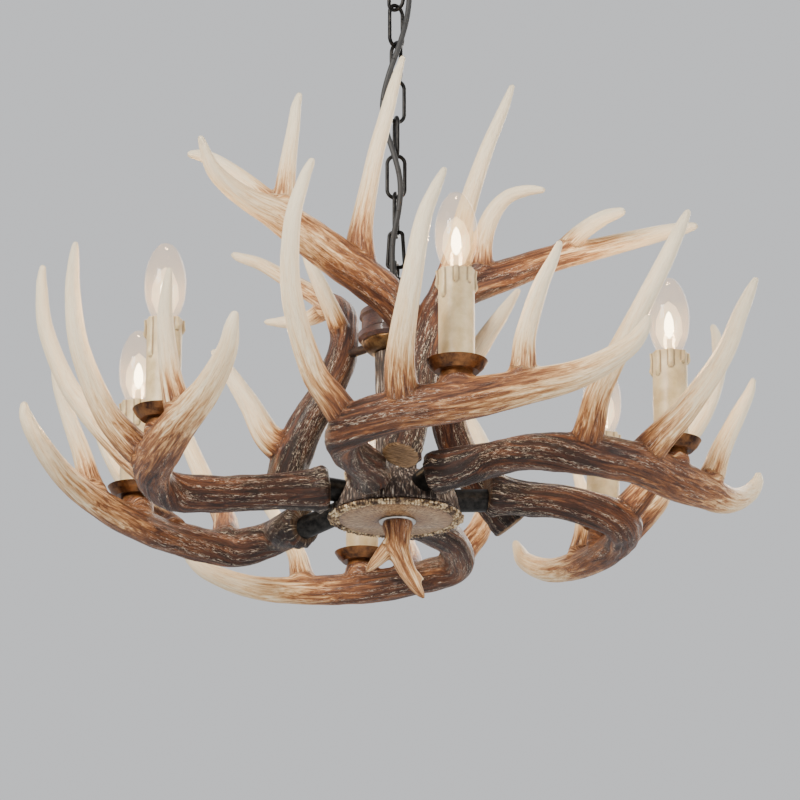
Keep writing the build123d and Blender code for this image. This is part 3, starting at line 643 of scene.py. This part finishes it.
def at_points(mesh, key):
    """A vector of each of a mesh's points, as rows."""
    values = np.empty(len(mesh.vertices) * 3)
    mesh.vertices.foreach_get(key, values)
    return values.reshape(-1, 3)


def grain_noise(angle, along, cells, cell_length, seed):
    """Noise drawn out along the grain."""
    return noise.noise(Vector((cos(angle) * cells, sin(angle) * cells, along / cell_length + seed)))


def burr_height(along, point, seed):
    """The knobbly ring just above a cut root."""
    swell = exp(-((along - BURR_PLACE) / BURR_SPREAD) ** 2)
    if swell <= 0.02:
        return 0.0
    pearl = noise.noise(Vector(point * 210) + Vector((0, seed, 0)))
    return swell * (BURR_RISE + PEARL_RISE * max(pearl, -0.2))


def build_antler(name, branch_stations, seed, sawn_root=True, gnarl=1.0,
                 lean=None, seat=None, fresh=1.0, beam_tone=BEAM_TONE, tine_tone=TINE_TONE):
    """A cast antler: branches in one skin, grooved along the grain.

    The first branch is the beam. Gnarl scales its lumps, fresh is how pale the
    sawn root is, and a seat is where the skin swells up round a candle cup.
    """
    branches = []
    shape = bmesh.new()
    for index, stations in enumerate(branch_stations):
        scaled = [(x * MM, y * MM, z * MM + DATUM, r * MM, *flat) for x, y, z, r, *flat in stations]
        branches.append(Branch(scaled, index == 0, seed + index * 3.7, None if index else lean))
        add_branch(shape, branches[-1])
    if seat:
        add_pad(shape, seat)
    made = remeshed(name, shape, ANTLER)
    mesh = made.data
    skin = at_points(mesh, "co")
    which, place = nearest_on(branches, skin)
    grain = np.zeros(skin.shape)
    tone, relief, face, shift = np.zeros((4, len(skin)))
    for index, point in enumerate(skin):
        branch, at = branches[which[index]], place[index]
        spoke = point - branch.points[at]
        angle = atan2(float(spoke @ branch.ups[at]), float(spoke @ branch.sides[at]))
        along = branch.along[at] + float(spoke @ branch.tangents[at])
        grain[index] = (cos(angle), sin(angle), along / GRAIN_LENGTH + branch.seed)
        tones = beam_tone if branch.is_beam else tine_tone
        tone[index] = np.interp(along / branch.length, *tones)
        rough = min(1.0, 0.2 + tone[index] * 1.1)
        ridge = 1.0 - 2.4 * abs(grain_noise(angle, along, 2.9, 0.10, branch.seed))
        height = 0.75 * ridge + 0.55 * grain_noise(angle, along, 6.7, 0.06, branch.seed * 2)
        lump = noise.noise(Vector(point * 55) + Vector((seed, 0, 0)))
        relief[index] = height * rough
        girth = min(branch.radii[at] / FULL_GIRTH, 1.0)
        shift[index] = GROOVE_DEPTH * (height + lump * gnarl) * rough * girth
        if branch.is_beam and sawn_root:
            shift[index] += burr_height(along, point, seed)
            if along < SAWN_DEPTH:
                face[index] = fresh
                shift[index] = 0.0
    tone = averaged(mesh, tone, TONE_ROUNDS)
    skin = skin + at_points(mesh, "normal") * averaged(mesh, shift, SHIFT_ROUNDS)[:, None]
    mesh.vertices.foreach_set("co", skin.reshape(-1))
    mesh.attributes.new("grain", "FLOAT_VECTOR", "POINT").data.foreach_set("vector", grain.reshape(-1))
    for key, values in (("tone", tone), ("relief", relief), ("face", face)):
        mesh.attributes.new(key, "FLOAT", "POINT").data.foreach_set("value", values)
    mesh.update()
    return made


def push_out(made, radius, low, high):
    """Keep the skin outside an upright cylinder on the axis, between levels over DATUM."""
    for vertex in made.data.vertices:
        away = sqrt(vertex.co.x ** 2 + vertex.co.y ** 2)
        if away < radius and low < vertex.co.z - DATUM < high:
            vertex.co.x *= radius / away
            vertex.co.y *= radius / away


# ---- antlers: their shapes ---------------------------------------------------------------------
# stations: x, y, z and half width in millimetres, then thickness over width
SEAT = (246.0, 0.0, -91.0, 17.5, 0.76)
ARM_BEAM = [
    (140, -70, -92, 15.5, 0.88),
    (186, -79, -93, 17.2, 0.8),
    (224, -48, -92, 17.8, 0.76),
    SEAT,
    (262, 50, -86, 15.2, 0.8),
    (271, 98, -77, 12, 0.85),
    (278, 136, -58, 8.7, 0.95),
    (283, 151, -42, 6),
    (283, 156, -32, 3.2),
]
ARM_TINES = [
    [(190, -76, -90, 14), (200, -91, -73, 12.5), (213, -110, -49, 10.5), (246, -129, 0, 8.6),
     (271, -130, 50, 7.1), (282, -120, 85, 5.2), (286, -112, 102, 3)],
    [(228, -40, -88, 14.5), (250, -46, -68, 12.6), (272, -47, -45, 10.6), (299, -40, 0, 8.5),
     (311, -31, 40, 6.8), (317, -20, 65, 5), (320, -12, 80, 2.8)],
    [(262, 50, -84, 12.8), (269, 52, -66, 10.6), (275, 54, -46, 8.8), (287, 66, -10, 6.9),
     (293, 78, 13, 4.9), (295, 85, 28, 2.8)],
]
ARM_PIVOT = Vector((55.0, -15.0, -85.0))
# angle round the ring, yaw, pitch, roll, cut root, neck, lift just past the neck
ARMS = {
    "front": (-80.3, 2.3, 3.4, 3.9, (-22, -65, -87), (96, -46, -89), 0),
    "front_right": (-20.3, 2.2, -0.9, -4.2, (28, -57, -84), (96, -46, -80), 7),
    "rear_right": (39.7, 1.2, -0.2, -2.6, (78, 22, -78), (104, -48, -81), 7),
    "rear": (99.7, -2.9, -2.7, -5.0, (14, 67, -86), (96, -42, -85), 5),
    "rear_left": (159.7, -1.4, 1.5, 3.8, (-79, 51, -98), (116, -34, -97), 4),
    "front_left": (219.7, -1.4, -0.4, 3.7, (-57, -21, -87), (96, -46, -88), 1),
}
ROOT_RADIUS = 15.5
NECK_GIRTH = (15.5, 0.95)
BURR_LENGTH = 9.0
BURR_SWELL = 2.2
UPPER_ANTLERS = {
    "left": [
        [(101, 66, -95, 15), (80, 60, -68, 15.6), (53, 42, -30, 15.6), (39, 3, 12, 15.3),
         (24, -34, 38, 15.8), (3, -54, 65, 16.3), (-23, -74, 83, 16.8), (-53.5, -101, 97, 16.8),
         (-80.5, -128, 108.5, 15.6), (-102, -151, 116, 13), (-122, -169, 120.5, 9.8),
         (-140, -186, 128, 8.2), (-153, -200, 139, 6.4), (-162, -214, 160, 3)],
        [(-30, -80, 88, 15.5), (-31, -85, 112, 12), (-28, -90, 136, 9.4), (-23, -96, 161, 8.1),
         (-17, -102, 190, 7.2), (-8, -106, 224, 6.4), (-1, -108, 252, 5), (6, -108, 276, 2.8)],
        [(-95, -146, 117, 12), (-94, -144, 136, 9.4), (-91, -141, 167, 7.2),
         (-87, -139, 198, 5.7), (-85, -136, 218, 4.6), (-82, -134, 231, 2.8)],
        [(-98, -146, 117, 11.8), (-117, -140, 139, 9), (-138, -138, 157, 7.7),
         (-156, -139, 169, 6.2), (-168, -142, 172, 4.8), (-175, -146, 171, 3)],
        [(46, 24, -6, 12), (59, 2, 25, 10.2), (76, -25, 46, 8.2), (91, -50, 61, 6.3),
         (105, -72, 76, 2.8)],
    ],
    "right": [
        [(4, -97, -81, 15.6), (8, -91, -64, 16), (14, -87, -34, 16.2), (20, -84, 0, 15.8),
         (30, -79, 36, 16.3), (43, -68, 67, 16.3), (64, -58, 84, 15.4), (98, -48, 99, 13.2),
         (135, -38, 116, 11.4), (178, -28, 130, 9.5), (225, -20, 145, 7.5), (250, -17, 152, 5.8),
         (263, -16, 155, 3.2)],
        [(41, -69, 68, 14.5), (46, -69, 88, 12.6), (52, -68, 112, 10.2), (62, -64, 156, 8.2),
         (78, -58, 208, 6.5), (93, -52, 248, 5), (102, -48, 274, 2.8)],
        [(72, -58, 88, 12.5), (73, -60, 106, 10.6), (75, -62, 125, 8.9), (83, -68, 146, 7.6),
         (96, -76, 159, 6.3), (113, -84, 162, 5), (127, -90, 160, 3)],
        [(142, -36, 121, 9.8), (159, -44, 137, 8), (178, -52, 148, 6.8), (190, -57, 151, 5.4),
         (197, -60, 152, 3.6)],
    ],
    "rear": [
        [(-100, 39, -77, 15.6), (-97, 46, -57, 16.6), (-89, 53, -30, 17), (-77, 52, -3, 15.6),
         (-63, 48, 20, 14.4), (-50, 48, 48, 13.6), (-45, 57, 78, 12.6), (-48, 88, 110, 11.6),
         (-67, 130, 138, 9.2), (-96, 158, 165, 7.6), (-124, 178, 189, 6), (-145, 191, 201, 4.6),
         (-152, 196, 206, 2.8)],
        [(-88, 54, -33, 16), (-111, 50, -19, 12.8), (-128, 46, 10, 9.6), (-145, 42, 36, 7),
         (-155, 41, 50, 5.2), (-161, 40, 59, 2.8)],
        [(-46, 54, 73, 11.5), (-54, 44, 91, 8.5), (-65, 36, 114, 7.2), (-75, 32, 135, 5.6),
         (-83, 30, 153, 2.8)],
        [(-58, 112, 126, 9.8), (-78, 140, 124, 7.3), (-99, 160, 127, 6),
         (-120, 178, 133, 2.8)],
    ],
}
# the hub cap's underside, where the finial hangs
CAP_LEVEL = -109
FINIAL = [
    [(1, 0, 0, 11.4), (1.2, 0, -3.5, 13.4), (1.4, 0, -8, 12.2), (1.5, 0, -15, 10.8),
     (2, 0, -25, 10.2), (5.5, -1, -35, 8.8), (9.5, -2, -45, 7.8), (14.5, -4, -55, 6.2),
     (19.6, -5, -64, 4.4), (24, -6, -70, 2)],
    [(-1, 0, -18, 8.4), (-9, -3, -28, 7.2), (-17, -6, -38, 5.4), (-22, -8, -44, 3.6),
     (-25, -9, -48, 1.8)],
    [(12.5, -3, -46, 5.2), (19, -6, -51.5, 3.3), (23, -8, -54, 1.5)],
]
FINIAL_TONE = ((0.0, 0.1, 0.25, 0.7, 1.0), (0.62, 0.50, 0.36, 0.30, 0.34))


def arm_matrix(site):
    """Carries the arm casting's points to their place, in millimetres."""
    angle, yaw, pitch, roll = ARMS[site][:4]
    tilt = (Matrix.Rotation(radians(yaw), 4, "Z") @ Matrix.Rotation(radians(-pitch), 4, "Y")
            @ Matrix.Rotation(radians(roll), 4, "X"))
    return (Matrix.Rotation(radians(angle), 4, "Z") @ Matrix.Translation(ARM_PIVOT)
            @ tilt @ Matrix.Translation(-ARM_PIVOT))


def carried(matrix, station):
    point = matrix @ Vector(station[:3])
    return (point.x, point.y, point.z, *station[3:])


def arm_branches(site, matrix):
    """An arm's beam, from its own root and neck on, and its tines."""
    root, neck, lift = ARMS[site][4:]
    neck = carried(matrix, (*neck, *NECK_GIRTH))
    burr = Vector(root) + (Vector(neck[:3]) - Vector(root)).normalized() * BURR_LENGTH
    x, y, z, *girth = carried(matrix, ARM_BEAM[0])
    beam = [(*root, ROOT_RADIUS), (*burr, ROOT_RADIUS + BURR_SWELL), neck, (x, y, z + lift, *girth)]
    beam += [carried(matrix, station) for station in ARM_BEAM[1:]]
    return [beam] + [[carried(matrix, station) for station in tine] for tine in ARM_TINES]


# upright cylinders that the antlers keep out of: radius, lowest and highest level
HUB_CLEARANCE = (0.0545, -0.104, -0.04)
COLLAR_CLEARANCE = (0.0333, 0.0517, 0.086)
SEATS = {}
for number, site in enumerate(SITES):
    matrix = arm_matrix(site)
    SEATS[site] = Vector(carried(matrix, SEAT)[:3]) * MM + Vector((0, 0, DATUM))
    arm = build_antler(
        f"antler_{site}", arm_branches(site, matrix), 11.0 + number * 5.3,
        lean=matrix.to_3x3() @ Vector((1, 0, 1)), seat=SEATS[site], fresh=0.2,
    )
    push_out(arm, *HUB_CLEARANCE)
    stand_in(arm, f"arm_antler_{site}")

for number, (side, branches) in enumerate(UPPER_ANTLERS.items()):
    upper = build_antler(f"antler_upper_{side}", branches, 71.0 + number * 4.1)
    push_out(upper, *COLLAR_CLEARANCE)
    stand_in(upper, f"upper_antler_{side}")

finial = build_antler(
    "antler_finial",
    [[(x, y, z + CAP_LEVEL, r) for x, y, z, r in branch] for branch in FINIAL],
    90.0, sawn_root=False, gnarl=0.4, beam_tone=FINIAL_TONE, tine_tone=FINIAL_TONE,
)
stand_in(finial, "finial")

# ---- candles: heights over the seat on the arm ---------------------------------------------------
CANDLE_BOTTOM = 0.0252
CANDLE_TOP = CANDLE_BOTTOM + 0.085
CANDLE_RADIUS = 0.01475
CANDLE_BORE = 0.01235
CANDLE_STEPS = 144
CANDLE_ROWS = 84
RUNS = 8
RUN_END = 0.004
RUN_DEPTH = 0.0017
RUN_BEAD = 0.0012
# width and strength of the painted shade in the crevice round each run
CREVICE_SHADE_WIDTH = 0.0011
CREVICE_SHADE_STRENGTH = 0.85
RIM_HEIGHT = 0.006
RIM_SWELL = 0.0006
UNEVENNESS = 0.00025


def wax_runs(seed):
    """Angle, length and half width of each run of wax."""
    return [
        (2 * pi * (index + 0.3 * noise.noise(Vector((seed, index, 0)))) / RUNS,
         0.010 + 0.042 * abs(noise.noise(Vector((seed, index * 3.1, 4)))),
         0.0026 + 0.0012 * noise.noise(Vector((seed, index, 9))))
        for index in range(RUNS)
    ]


def waxed(angle, height, runs, seed):
    """A candle's radius and the strength of its painted crevice shade at one place."""
    below = CANDLE_TOP - height
    radius, beside, inside = CANDLE_RADIUS, 0.0, False
    for middle, length, half in runs:
        off = (angle - middle + pi) % (2 * pi) - pi
        sideways = off * CANDLE_RADIUS / half
        round_off = sqrt(1 - min(1.0, sideways ** 2))
        to_end = length - below
        if abs(sideways) < 1 and to_end > 0:
            swell = round_off * min(1.0, sqrt(to_end / RUN_END))
            fat = RUN_DEPTH + RUN_BEAD * exp(-((to_end - RUN_END) / RUN_END) ** 2)
            radius = max(radius, CANDLE_RADIUS + fat * swell)
            inside = inside or swell > 0.35
        gap = max((abs(sideways) - 1) * half, half * (1 - round_off) - to_end)
        beside = max(beside, 1 - abs(gap) / CREVICE_SHADE_WIDTH)
    rim = max(0.0, 1 - below / RIM_HEIGHT)
    waver = noise.noise(Vector((angle * 2, height * 90, seed)))
    # painted shade round the edge of each run, none on its middle
    crevice_shade = 0.0 if inside and beside < 0.5 else CREVICE_SHADE_STRENGTH * beside
    return radius + RIM_SWELL * rim + UNEVENNESS * waver, crevice_shade


def candle_sleeve(site, seat, seed):
    """A cream sleeve with wax run down its sides and painted shade in the crevice beside each run."""
    runs = wax_runs(seed)
    points, crevice_shade = [], []
    for row in range(CANDLE_ROWS + 1):
        height = CANDLE_BOTTOM + (CANDLE_TOP - CANDLE_BOTTOM) * row / CANDLE_ROWS
        for step in range(CANDLE_STEPS):
            angle = 2 * pi * step / CANDLE_STEPS
            # the second value is the strength of the painted crevice shade
            radius, brown = waxed(angle, height, runs, seed)
            points.append(seat + Vector((radius * cos(angle), radius * sin(angle), height)))
            crevice_shade.append(brown)
    for height in (CANDLE_TOP - 0.0004, CANDLE_BOTTOM):
        points += circle(seat, CANDLE_BORE, height, CANDLE_STEPS)
        crevice_shade += [0.0] * CANDLE_STEPS
    rows = [*range(CANDLE_ROWS + 3), 0]
    sleeve = mesh_object(f"sleeve_{site}", points, quads(rows, CANDLE_STEPS), WAX)
    sleeve.data.attributes.new("crevice_shade", "FLOAT", "POINT").data.foreach_set("value", crevice_shade)
    stand_in(sleeve, f"candle_sleeve_{site}")


# ---- lamps ----------------------------------------------------------------------------------------
GLASS_BOTTOM = CANDLE_TOP - 0.003
BULB_TIP = CANDLE_TOP + 0.069
CAP_TURNS = 6
FILAMENT_TURNS = 7
FILAMENT_POINTS = 60
FILAMENT_WIDTH = 0.006
LAMP_POWER = 1.2
ENVELOPE = [
    (0.0088, GLASS_BOTTOM), (0.0100, BULB_TIP - 0.066), (0.0133, BULB_TIP - 0.060),
    (0.0163, BULB_TIP - 0.050), (0.0175, BULB_TIP - 0.038), (0.0165, BULB_TIP - 0.025),
    (0.0127, BULB_TIP - 0.0125), (0.0082, BULB_TIP - 0.0047), (0.0045, BULB_TIP - 0.0015),
    (0.0, BULB_TIP),
]
THREAD = [
    (radius, -0.021 + 0.003 * turn + rise)
    for turn in range(CAP_TURNS)
    for radius, rise in ((0.0062, 0), (0.0069, 0.0015))
]
# what stands inside and under the glass: (radius, height over its foot), finish, steps
LAMP_PIECES = {
    "cap": ([(0.0, -0.026), (0.003, -0.026), *THREAD, (0.0069, -0.002), (0.0086, 0.0),
             (0.0, 0.0004)], CAP_METAL, 40),
    "stem": ([(0.0055, 0.001), (0.003, 0.006), (0.0022, 0.016), (0.0, 0.018)], STEM_GLASS, 24),
    "glow": ([(0.0, 0.017), (0.0028, 0.020), (0.0042, 0.026), (0.0038, 0.033), (0.0020, 0.039),
              (0.0, 0.042)], GLOW, 32),
    "halo": ([(0.0, 0.006), (0.0072, 0.011), (0.0115, 0.022), (0.0108, 0.034), (0.0066, 0.045),
              (0.0, 0.051)], HALO, 32),
}


def filament(site, foot):
    """A coiled wire that bows up between its two ends."""
    wire = bpy.data.curves.new(f"bulb_filament_{site}", "CURVE")
    wire.dimensions = "3D"
    wire.bevel_depth = 0.0004
    wire.materials.append(FILAMENT)
    spline = wire.splines.new("POLY")
    spline.points.add(FILAMENT_POINTS)
    for index, point in enumerate(spline.points):
        t = index / FILAMENT_POINTS
        angle = t * 2 * pi * FILAMENT_TURNS
        across = FILAMENT_WIDTH * (t - 0.5) + 0.0008 * cos(angle)
        height = 0.024 + 0.0045 * sin(pi * t)
        point.co = (foot.x + across, foot.y + 0.0012 * sin(angle), foot.z + height, 1)
    return add_object(wire.name, wire)


def bulb(site, seat):
    """A clear candle lamp: envelope, glass stem, hot filament and screw cap."""
    glass = lathe(f"bulb_glass_{site}", profile_through(ENVELOPE, 0.0016), seat, GLASS)
    stand_in(glass, f"bulb_{site}", f"lamp_{site}")
    foot = seat + Vector((0, 0, GLASS_BOTTOM))
    pieces = [
        lathe(f"bulb_{part}_{site}", profile, foot, material, steps)
        for part, (profile, material, steps) in LAMP_PIECES.items()
    ]
    for piece in (*pieces, filament(site, foot)):
        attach(piece, f"lamp_{site}")
    light = bpy.data.lights.new(f"lamp_{site}", "POINT")
    light.energy = LAMP_POWER
    light.color = (1.0, 0.66, 0.34)
    light.shadow_soft_size = 0.008
    add_object(light.name, light).location = foot + Vector((0, 0, 0.03))


for number, site in enumerate(SITES):
    candle_sleeve(site, SEATS[site], 3.3 + number * 1.7)
    bulb(site, SEATS[site])
    dress(BRONZE, f"candle_cup_{site}")
    dress(HOLDER, f"lamp_holder_{site}")

# ---- column, canopy and chain -----------------------------------------------------------------------
dress(BLACK, "canopy_cover", "canopy_loop", "canopy_nut", "quick_link", "top_loop", "arm_tubes")
dress(BLACK, *[f"chain_{link}" for link in LINKS])
dress(ZINC, "ceiling_bracket", "stem_tube")
dress(DARK, "stay_rods")
dress(HOLDER, "terminal_block")
dress(WOOD, "top_collar")
dress(GOLD, "collar_dome")

BARK_SPACING = 0.0012
BARK_RIDGES = 17
BARK_CELL = 0.05
# the bore and the first and last rows of a barked body stay smooth
SMOOTH_RADIUS = 0.012
SMOOTH_ROWS = 3


def barked(name, corners, node, depth, seed, steps):
    """An upright turned body with ridges running up it, in place of a CAD node."""
    profile = profile_through(corners, BARK_SPACING)
    points = []
    last = len(profile) - 1
    for row, (radius, height) in enumerate(profile):
        is_rough = radius > SMOOTH_RADIUS and SMOOTH_ROWS < row < last - SMOOTH_ROWS
        for step in range(steps):
            angle = 2 * pi * step / steps
            where = Vector((cos(angle) * BARK_RIDGES, sin(angle) * BARK_RIDGES,
                            height / BARK_CELL + seed))
            rough = noise.noise(where) + 0.6 * noise.noise(where * 2.1)
            out = radius + depth * rough if is_rough else radius
            points.append((out * cos(angle), out * sin(angle), DATUM + height))
    made = mesh_object(name, points, quads(range(len(profile)), steps), BARK)
    stand_in(made, node)


barked("hub_bark", [
    (0.0068, -0.1038), (0.030, -0.1038), (0.0545, -0.1036), (0.0548, -0.101), (0.0535, -0.094),
    (0.0505, -0.085), (0.0460, -0.077), (0.0405, -0.0735), (0.026, -0.0732), (0.0068, -0.0732),
], "hub_body", 0.0011, 4.0, 300)
barked("column_bark", [
    (0.0068, -0.0725), (0.0172, -0.0725), (0.0176, -0.066), (0.0172, -0.03), (0.0174, 0.010),
    (0.0176, 0.036), (0.0170, 0.0418), (0.0068, 0.0418),
], "stem_sleeve", 0.0009, 9.0, 150)

CAP_FOOT = (0, 0, DATUM + CAP_LEVEL * MM)
# rows of pearls: distance from the axis, height, number and size
PEARL_ROWS = (
    (0.0500, 0.0010, 118, 0.0010), (0.0524, 0.0008, 126, 0.0012),
    (0.0548, 0.0012, 130, 0.0013), (0.0568, 0.0026, 134, 0.0013),
)


def pearls():
    """A crust of small beads round the rim of the cap."""
    crust = bmesh.new()
    for row, (out, lift, count, size) in enumerate(PEARL_ROWS):
        for index in range(count):
            stir = Vector((index * 0.73, row * 2.9, 5.0))
            angle = 2 * pi * (index + 0.4 * noise.noise(stir)) / count
            near = out + 0.0020 * noise.noise(stir + Vector((9, 0, 0)))
            girth = size * (1 + 0.55 * noise.noise(stir + Vector((0, 7, 0))))
            place = Matrix.Translation((near * cos(angle), near * sin(angle), CAP_FOOT[2] + lift))
            bmesh.ops.create_icosphere(crust, subdivisions=2, radius=girth, matrix=place)
    return shape_object("cap_pearls", crust, PEARL)


cap_plate = lathe("cap_plate", [
    (0.0, 0.0002), (0.0475, 0.0002), (0.0490, 0.0010), (0.0555, 0.0018), (0.0570, 0.0030),
    (0.0562, 0.0046), (0.0, 0.0048),
], CAP_FOOT, CAP_FACE, 128)
cap_pearls = pearls()
# the washer sits round the finial's root, which leans a little to the right
cap_washer = lathe("cap_washer", [
    (0.0105, 0.0), (0.0158, 0.0), (0.0160, -0.0008), (0.0156, -0.0016), (0.0105, -0.0016),
], (0.0013, 0, CAP_FOOT[2]), ZINC, 48)
for piece in (cap_plate, cap_pearls, cap_washer):
    stand_in(piece, "hub_cap")

# ---- power cord ---------------------------------------------------------------------------------------
CORD_DIAMETER = 0.005
CORD_SIDES = 20
RELIEF_RIBS = 3
RIB_PITCH = 0.003
CORD_ROUTE = [
    (12.5, -4.5, -29),
    (12.5, -4.5, -58),
    (10.5, -7, -88),
    (3, -14.5, -119),
    (-7, -12.5, -146),
    (-13, -5.5, -171),
    (-9.5, -10, -197),
    (-2, -15, -221),
    (4.5, -14, -247),
    (3, -13.5, -274),
    (-3.5, -13, -303),
    (-3, -14, -332),
    (-3, -14, -356.95),
]
# each grommet lies between its housing and the cord's end
GROMMET_THICKNESS = 3


def route_line(route):
    """Points read from the smooth spline that has the route as its control points."""
    data = bpy.data.curves.new("cord_guide", "CURVE")
    data.dimensions = "3D"
    data.resolution_u = 16
    spline = data.splines.new("NURBS")
    spline.points.add(len(route) - 1)
    for control, point in zip(spline.points, route):
        control.co = (*[value * MM for value in point], 1)
    spline.order_u = 3
    spline.use_endpoint_u = True
    guide = add_object("cord_guide", data)
    graph = bpy.context.evaluated_depsgraph_get()
    mesh = bpy.data.meshes.new_from_object(guide.evaluated_get(graph))
    line = [vertex.co.copy() for vertex in mesh.vertices]
    bpy.data.objects.remove(guide)
    bpy.data.meshes.remove(mesh)
    return line


def cut_at(line, level):
    """Split a downward line where it passes a level."""
    for index in range(len(line) - 1):
        above, below = line[index], line[index + 1]
        if above.z >= level > below.z:
            share = (above.z - level) / (above.z - below.z)
            middle = above.lerp(below, share)
            return line[:index + 1] + [middle], [middle] + line[index + 1:]
    return line, []


def cord_tube(name, line):
    points = np.array([tuple(point) for point in line])
    _, sides, ups = steady_frames(points)
    radius = CORD_DIAMETER / 2
    shape = bmesh.new()
    rings = [
        ring(shape, point, radius * side, radius * up, CORD_SIDES)
        for point, side, up in zip(points, sides, ups)
    ]
    skin_rings(shape, rings)
    shape.faces.new(rings[-1])
    return shape_object(name, shape, CORD)


def strain_relief(node, body, end, along):
    """A ribbed rubber sleeve that narrows along the cord, which runs up (1) or down (-1)."""
    x, y, z = end
    foot = Vector((x, y, z - along * GROMMET_THICKNESS)) * MM
    profile = [(CORD_DIAMETER / 2, 0.0), (0.0050, 0.0), (0.0050, 0.0026), (0.0043, 0.0032)]
    for rib in range(RELIEF_RIBS):
        level, wide = 0.0044 + rib * RIB_PITCH, 0.0043 - rib * 0.0004
        profile += [(wide, level), (wide - 0.0001, level + 0.0016), (wide - 0.0007, level + 0.0019),
                    (wide - 0.0007, level + 0.0027)]
    profile += [(0.0030, 0.0142), (CORD_DIAMETER / 2, 0.0145)]
    made = lathe(f"{node}_sleeve", [(radius, along * level) for radius, level in profile], foot, CORD, 40)
    stand_in(made, node, body)


strain_relief("canopy_grommet", "ceiling", CORD_ROUTE[0], -1)
strain_relief("cord_grommet", "fixture", CORD_ROUTE[-1], 1)

# the cord is cut into spans at the levels halfway between neighbouring joints of the chain
cord_levels = [(upper.z + lower.z) / 2 for upper, lower in zip(CHAIN, CHAIN[1:])]
stretches = []
rest_of_line = route_line(CORD_ROUTE)
for level in cord_levels:
    stretch, rest_of_line = cut_at(rest_of_line, level)
    stretches.append(stretch)
stretches.append(rest_of_line)
for index, stretch in enumerate(stretches):
    piece = cord_tube(f"cord_span_{index + 1}", stretch)
    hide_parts("power_cord")
    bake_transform(piece)

# ---- studio ----------------------------------------------------------------------------------------------
FLOOR_LEVEL = -2.3
FLOOR_REACH = 20
world = bpy.data.worlds.new("studio")
bpy.context.scene.world = world
world.use_nodes = True
backdrop = world.node_tree.nodes["Background"]
backdrop.inputs["Color"].default_value = (0.66, 0.67, 0.69, 1)
backdrop.inputs["Strength"].default_value = 1.1


def soft_light(name, place, size, power, colour=(1, 1, 1)):
    """A square light that faces the middle of the arms."""
    data = bpy.data.lights.new(name, "AREA")
    data.size = size
    data.energy = power
    data.color = colour
    made = add_object(name, data)
    made.location = place
    aim = Vector((0, 0, DATUM)) - Vector(place)
    made.rotation_euler = aim.to_track_quat("-Z", "Y").to_euler()


soft_light("key", (-1.6, -2.2, 0.7), 1.0, 130, (1.0, 0.95, 0.88))
soft_light("fill", (2.2, -1.6, -0.5), 1.4, 48, (1.0, 0.97, 0.94))
soft_light("under", (0.2, -1.2, -2.3), 1.6, 6)
soft_light("rim", (0.9, 2.0, 0.6), 1.2, 34, (1.0, 0.95, 0.88))

corners = [(-1, -1), (1, -1), (1, 1), (-1, 1)]
floor = mesh_object(
    "floor", [(x * FLOOR_REACH, y * FLOOR_REACH, FLOOR_LEVEL) for x, y in corners],
    [(0, 1, 2, 3)], new_material("floor", (0.72, 0.72, 0.72), 0.8),
)
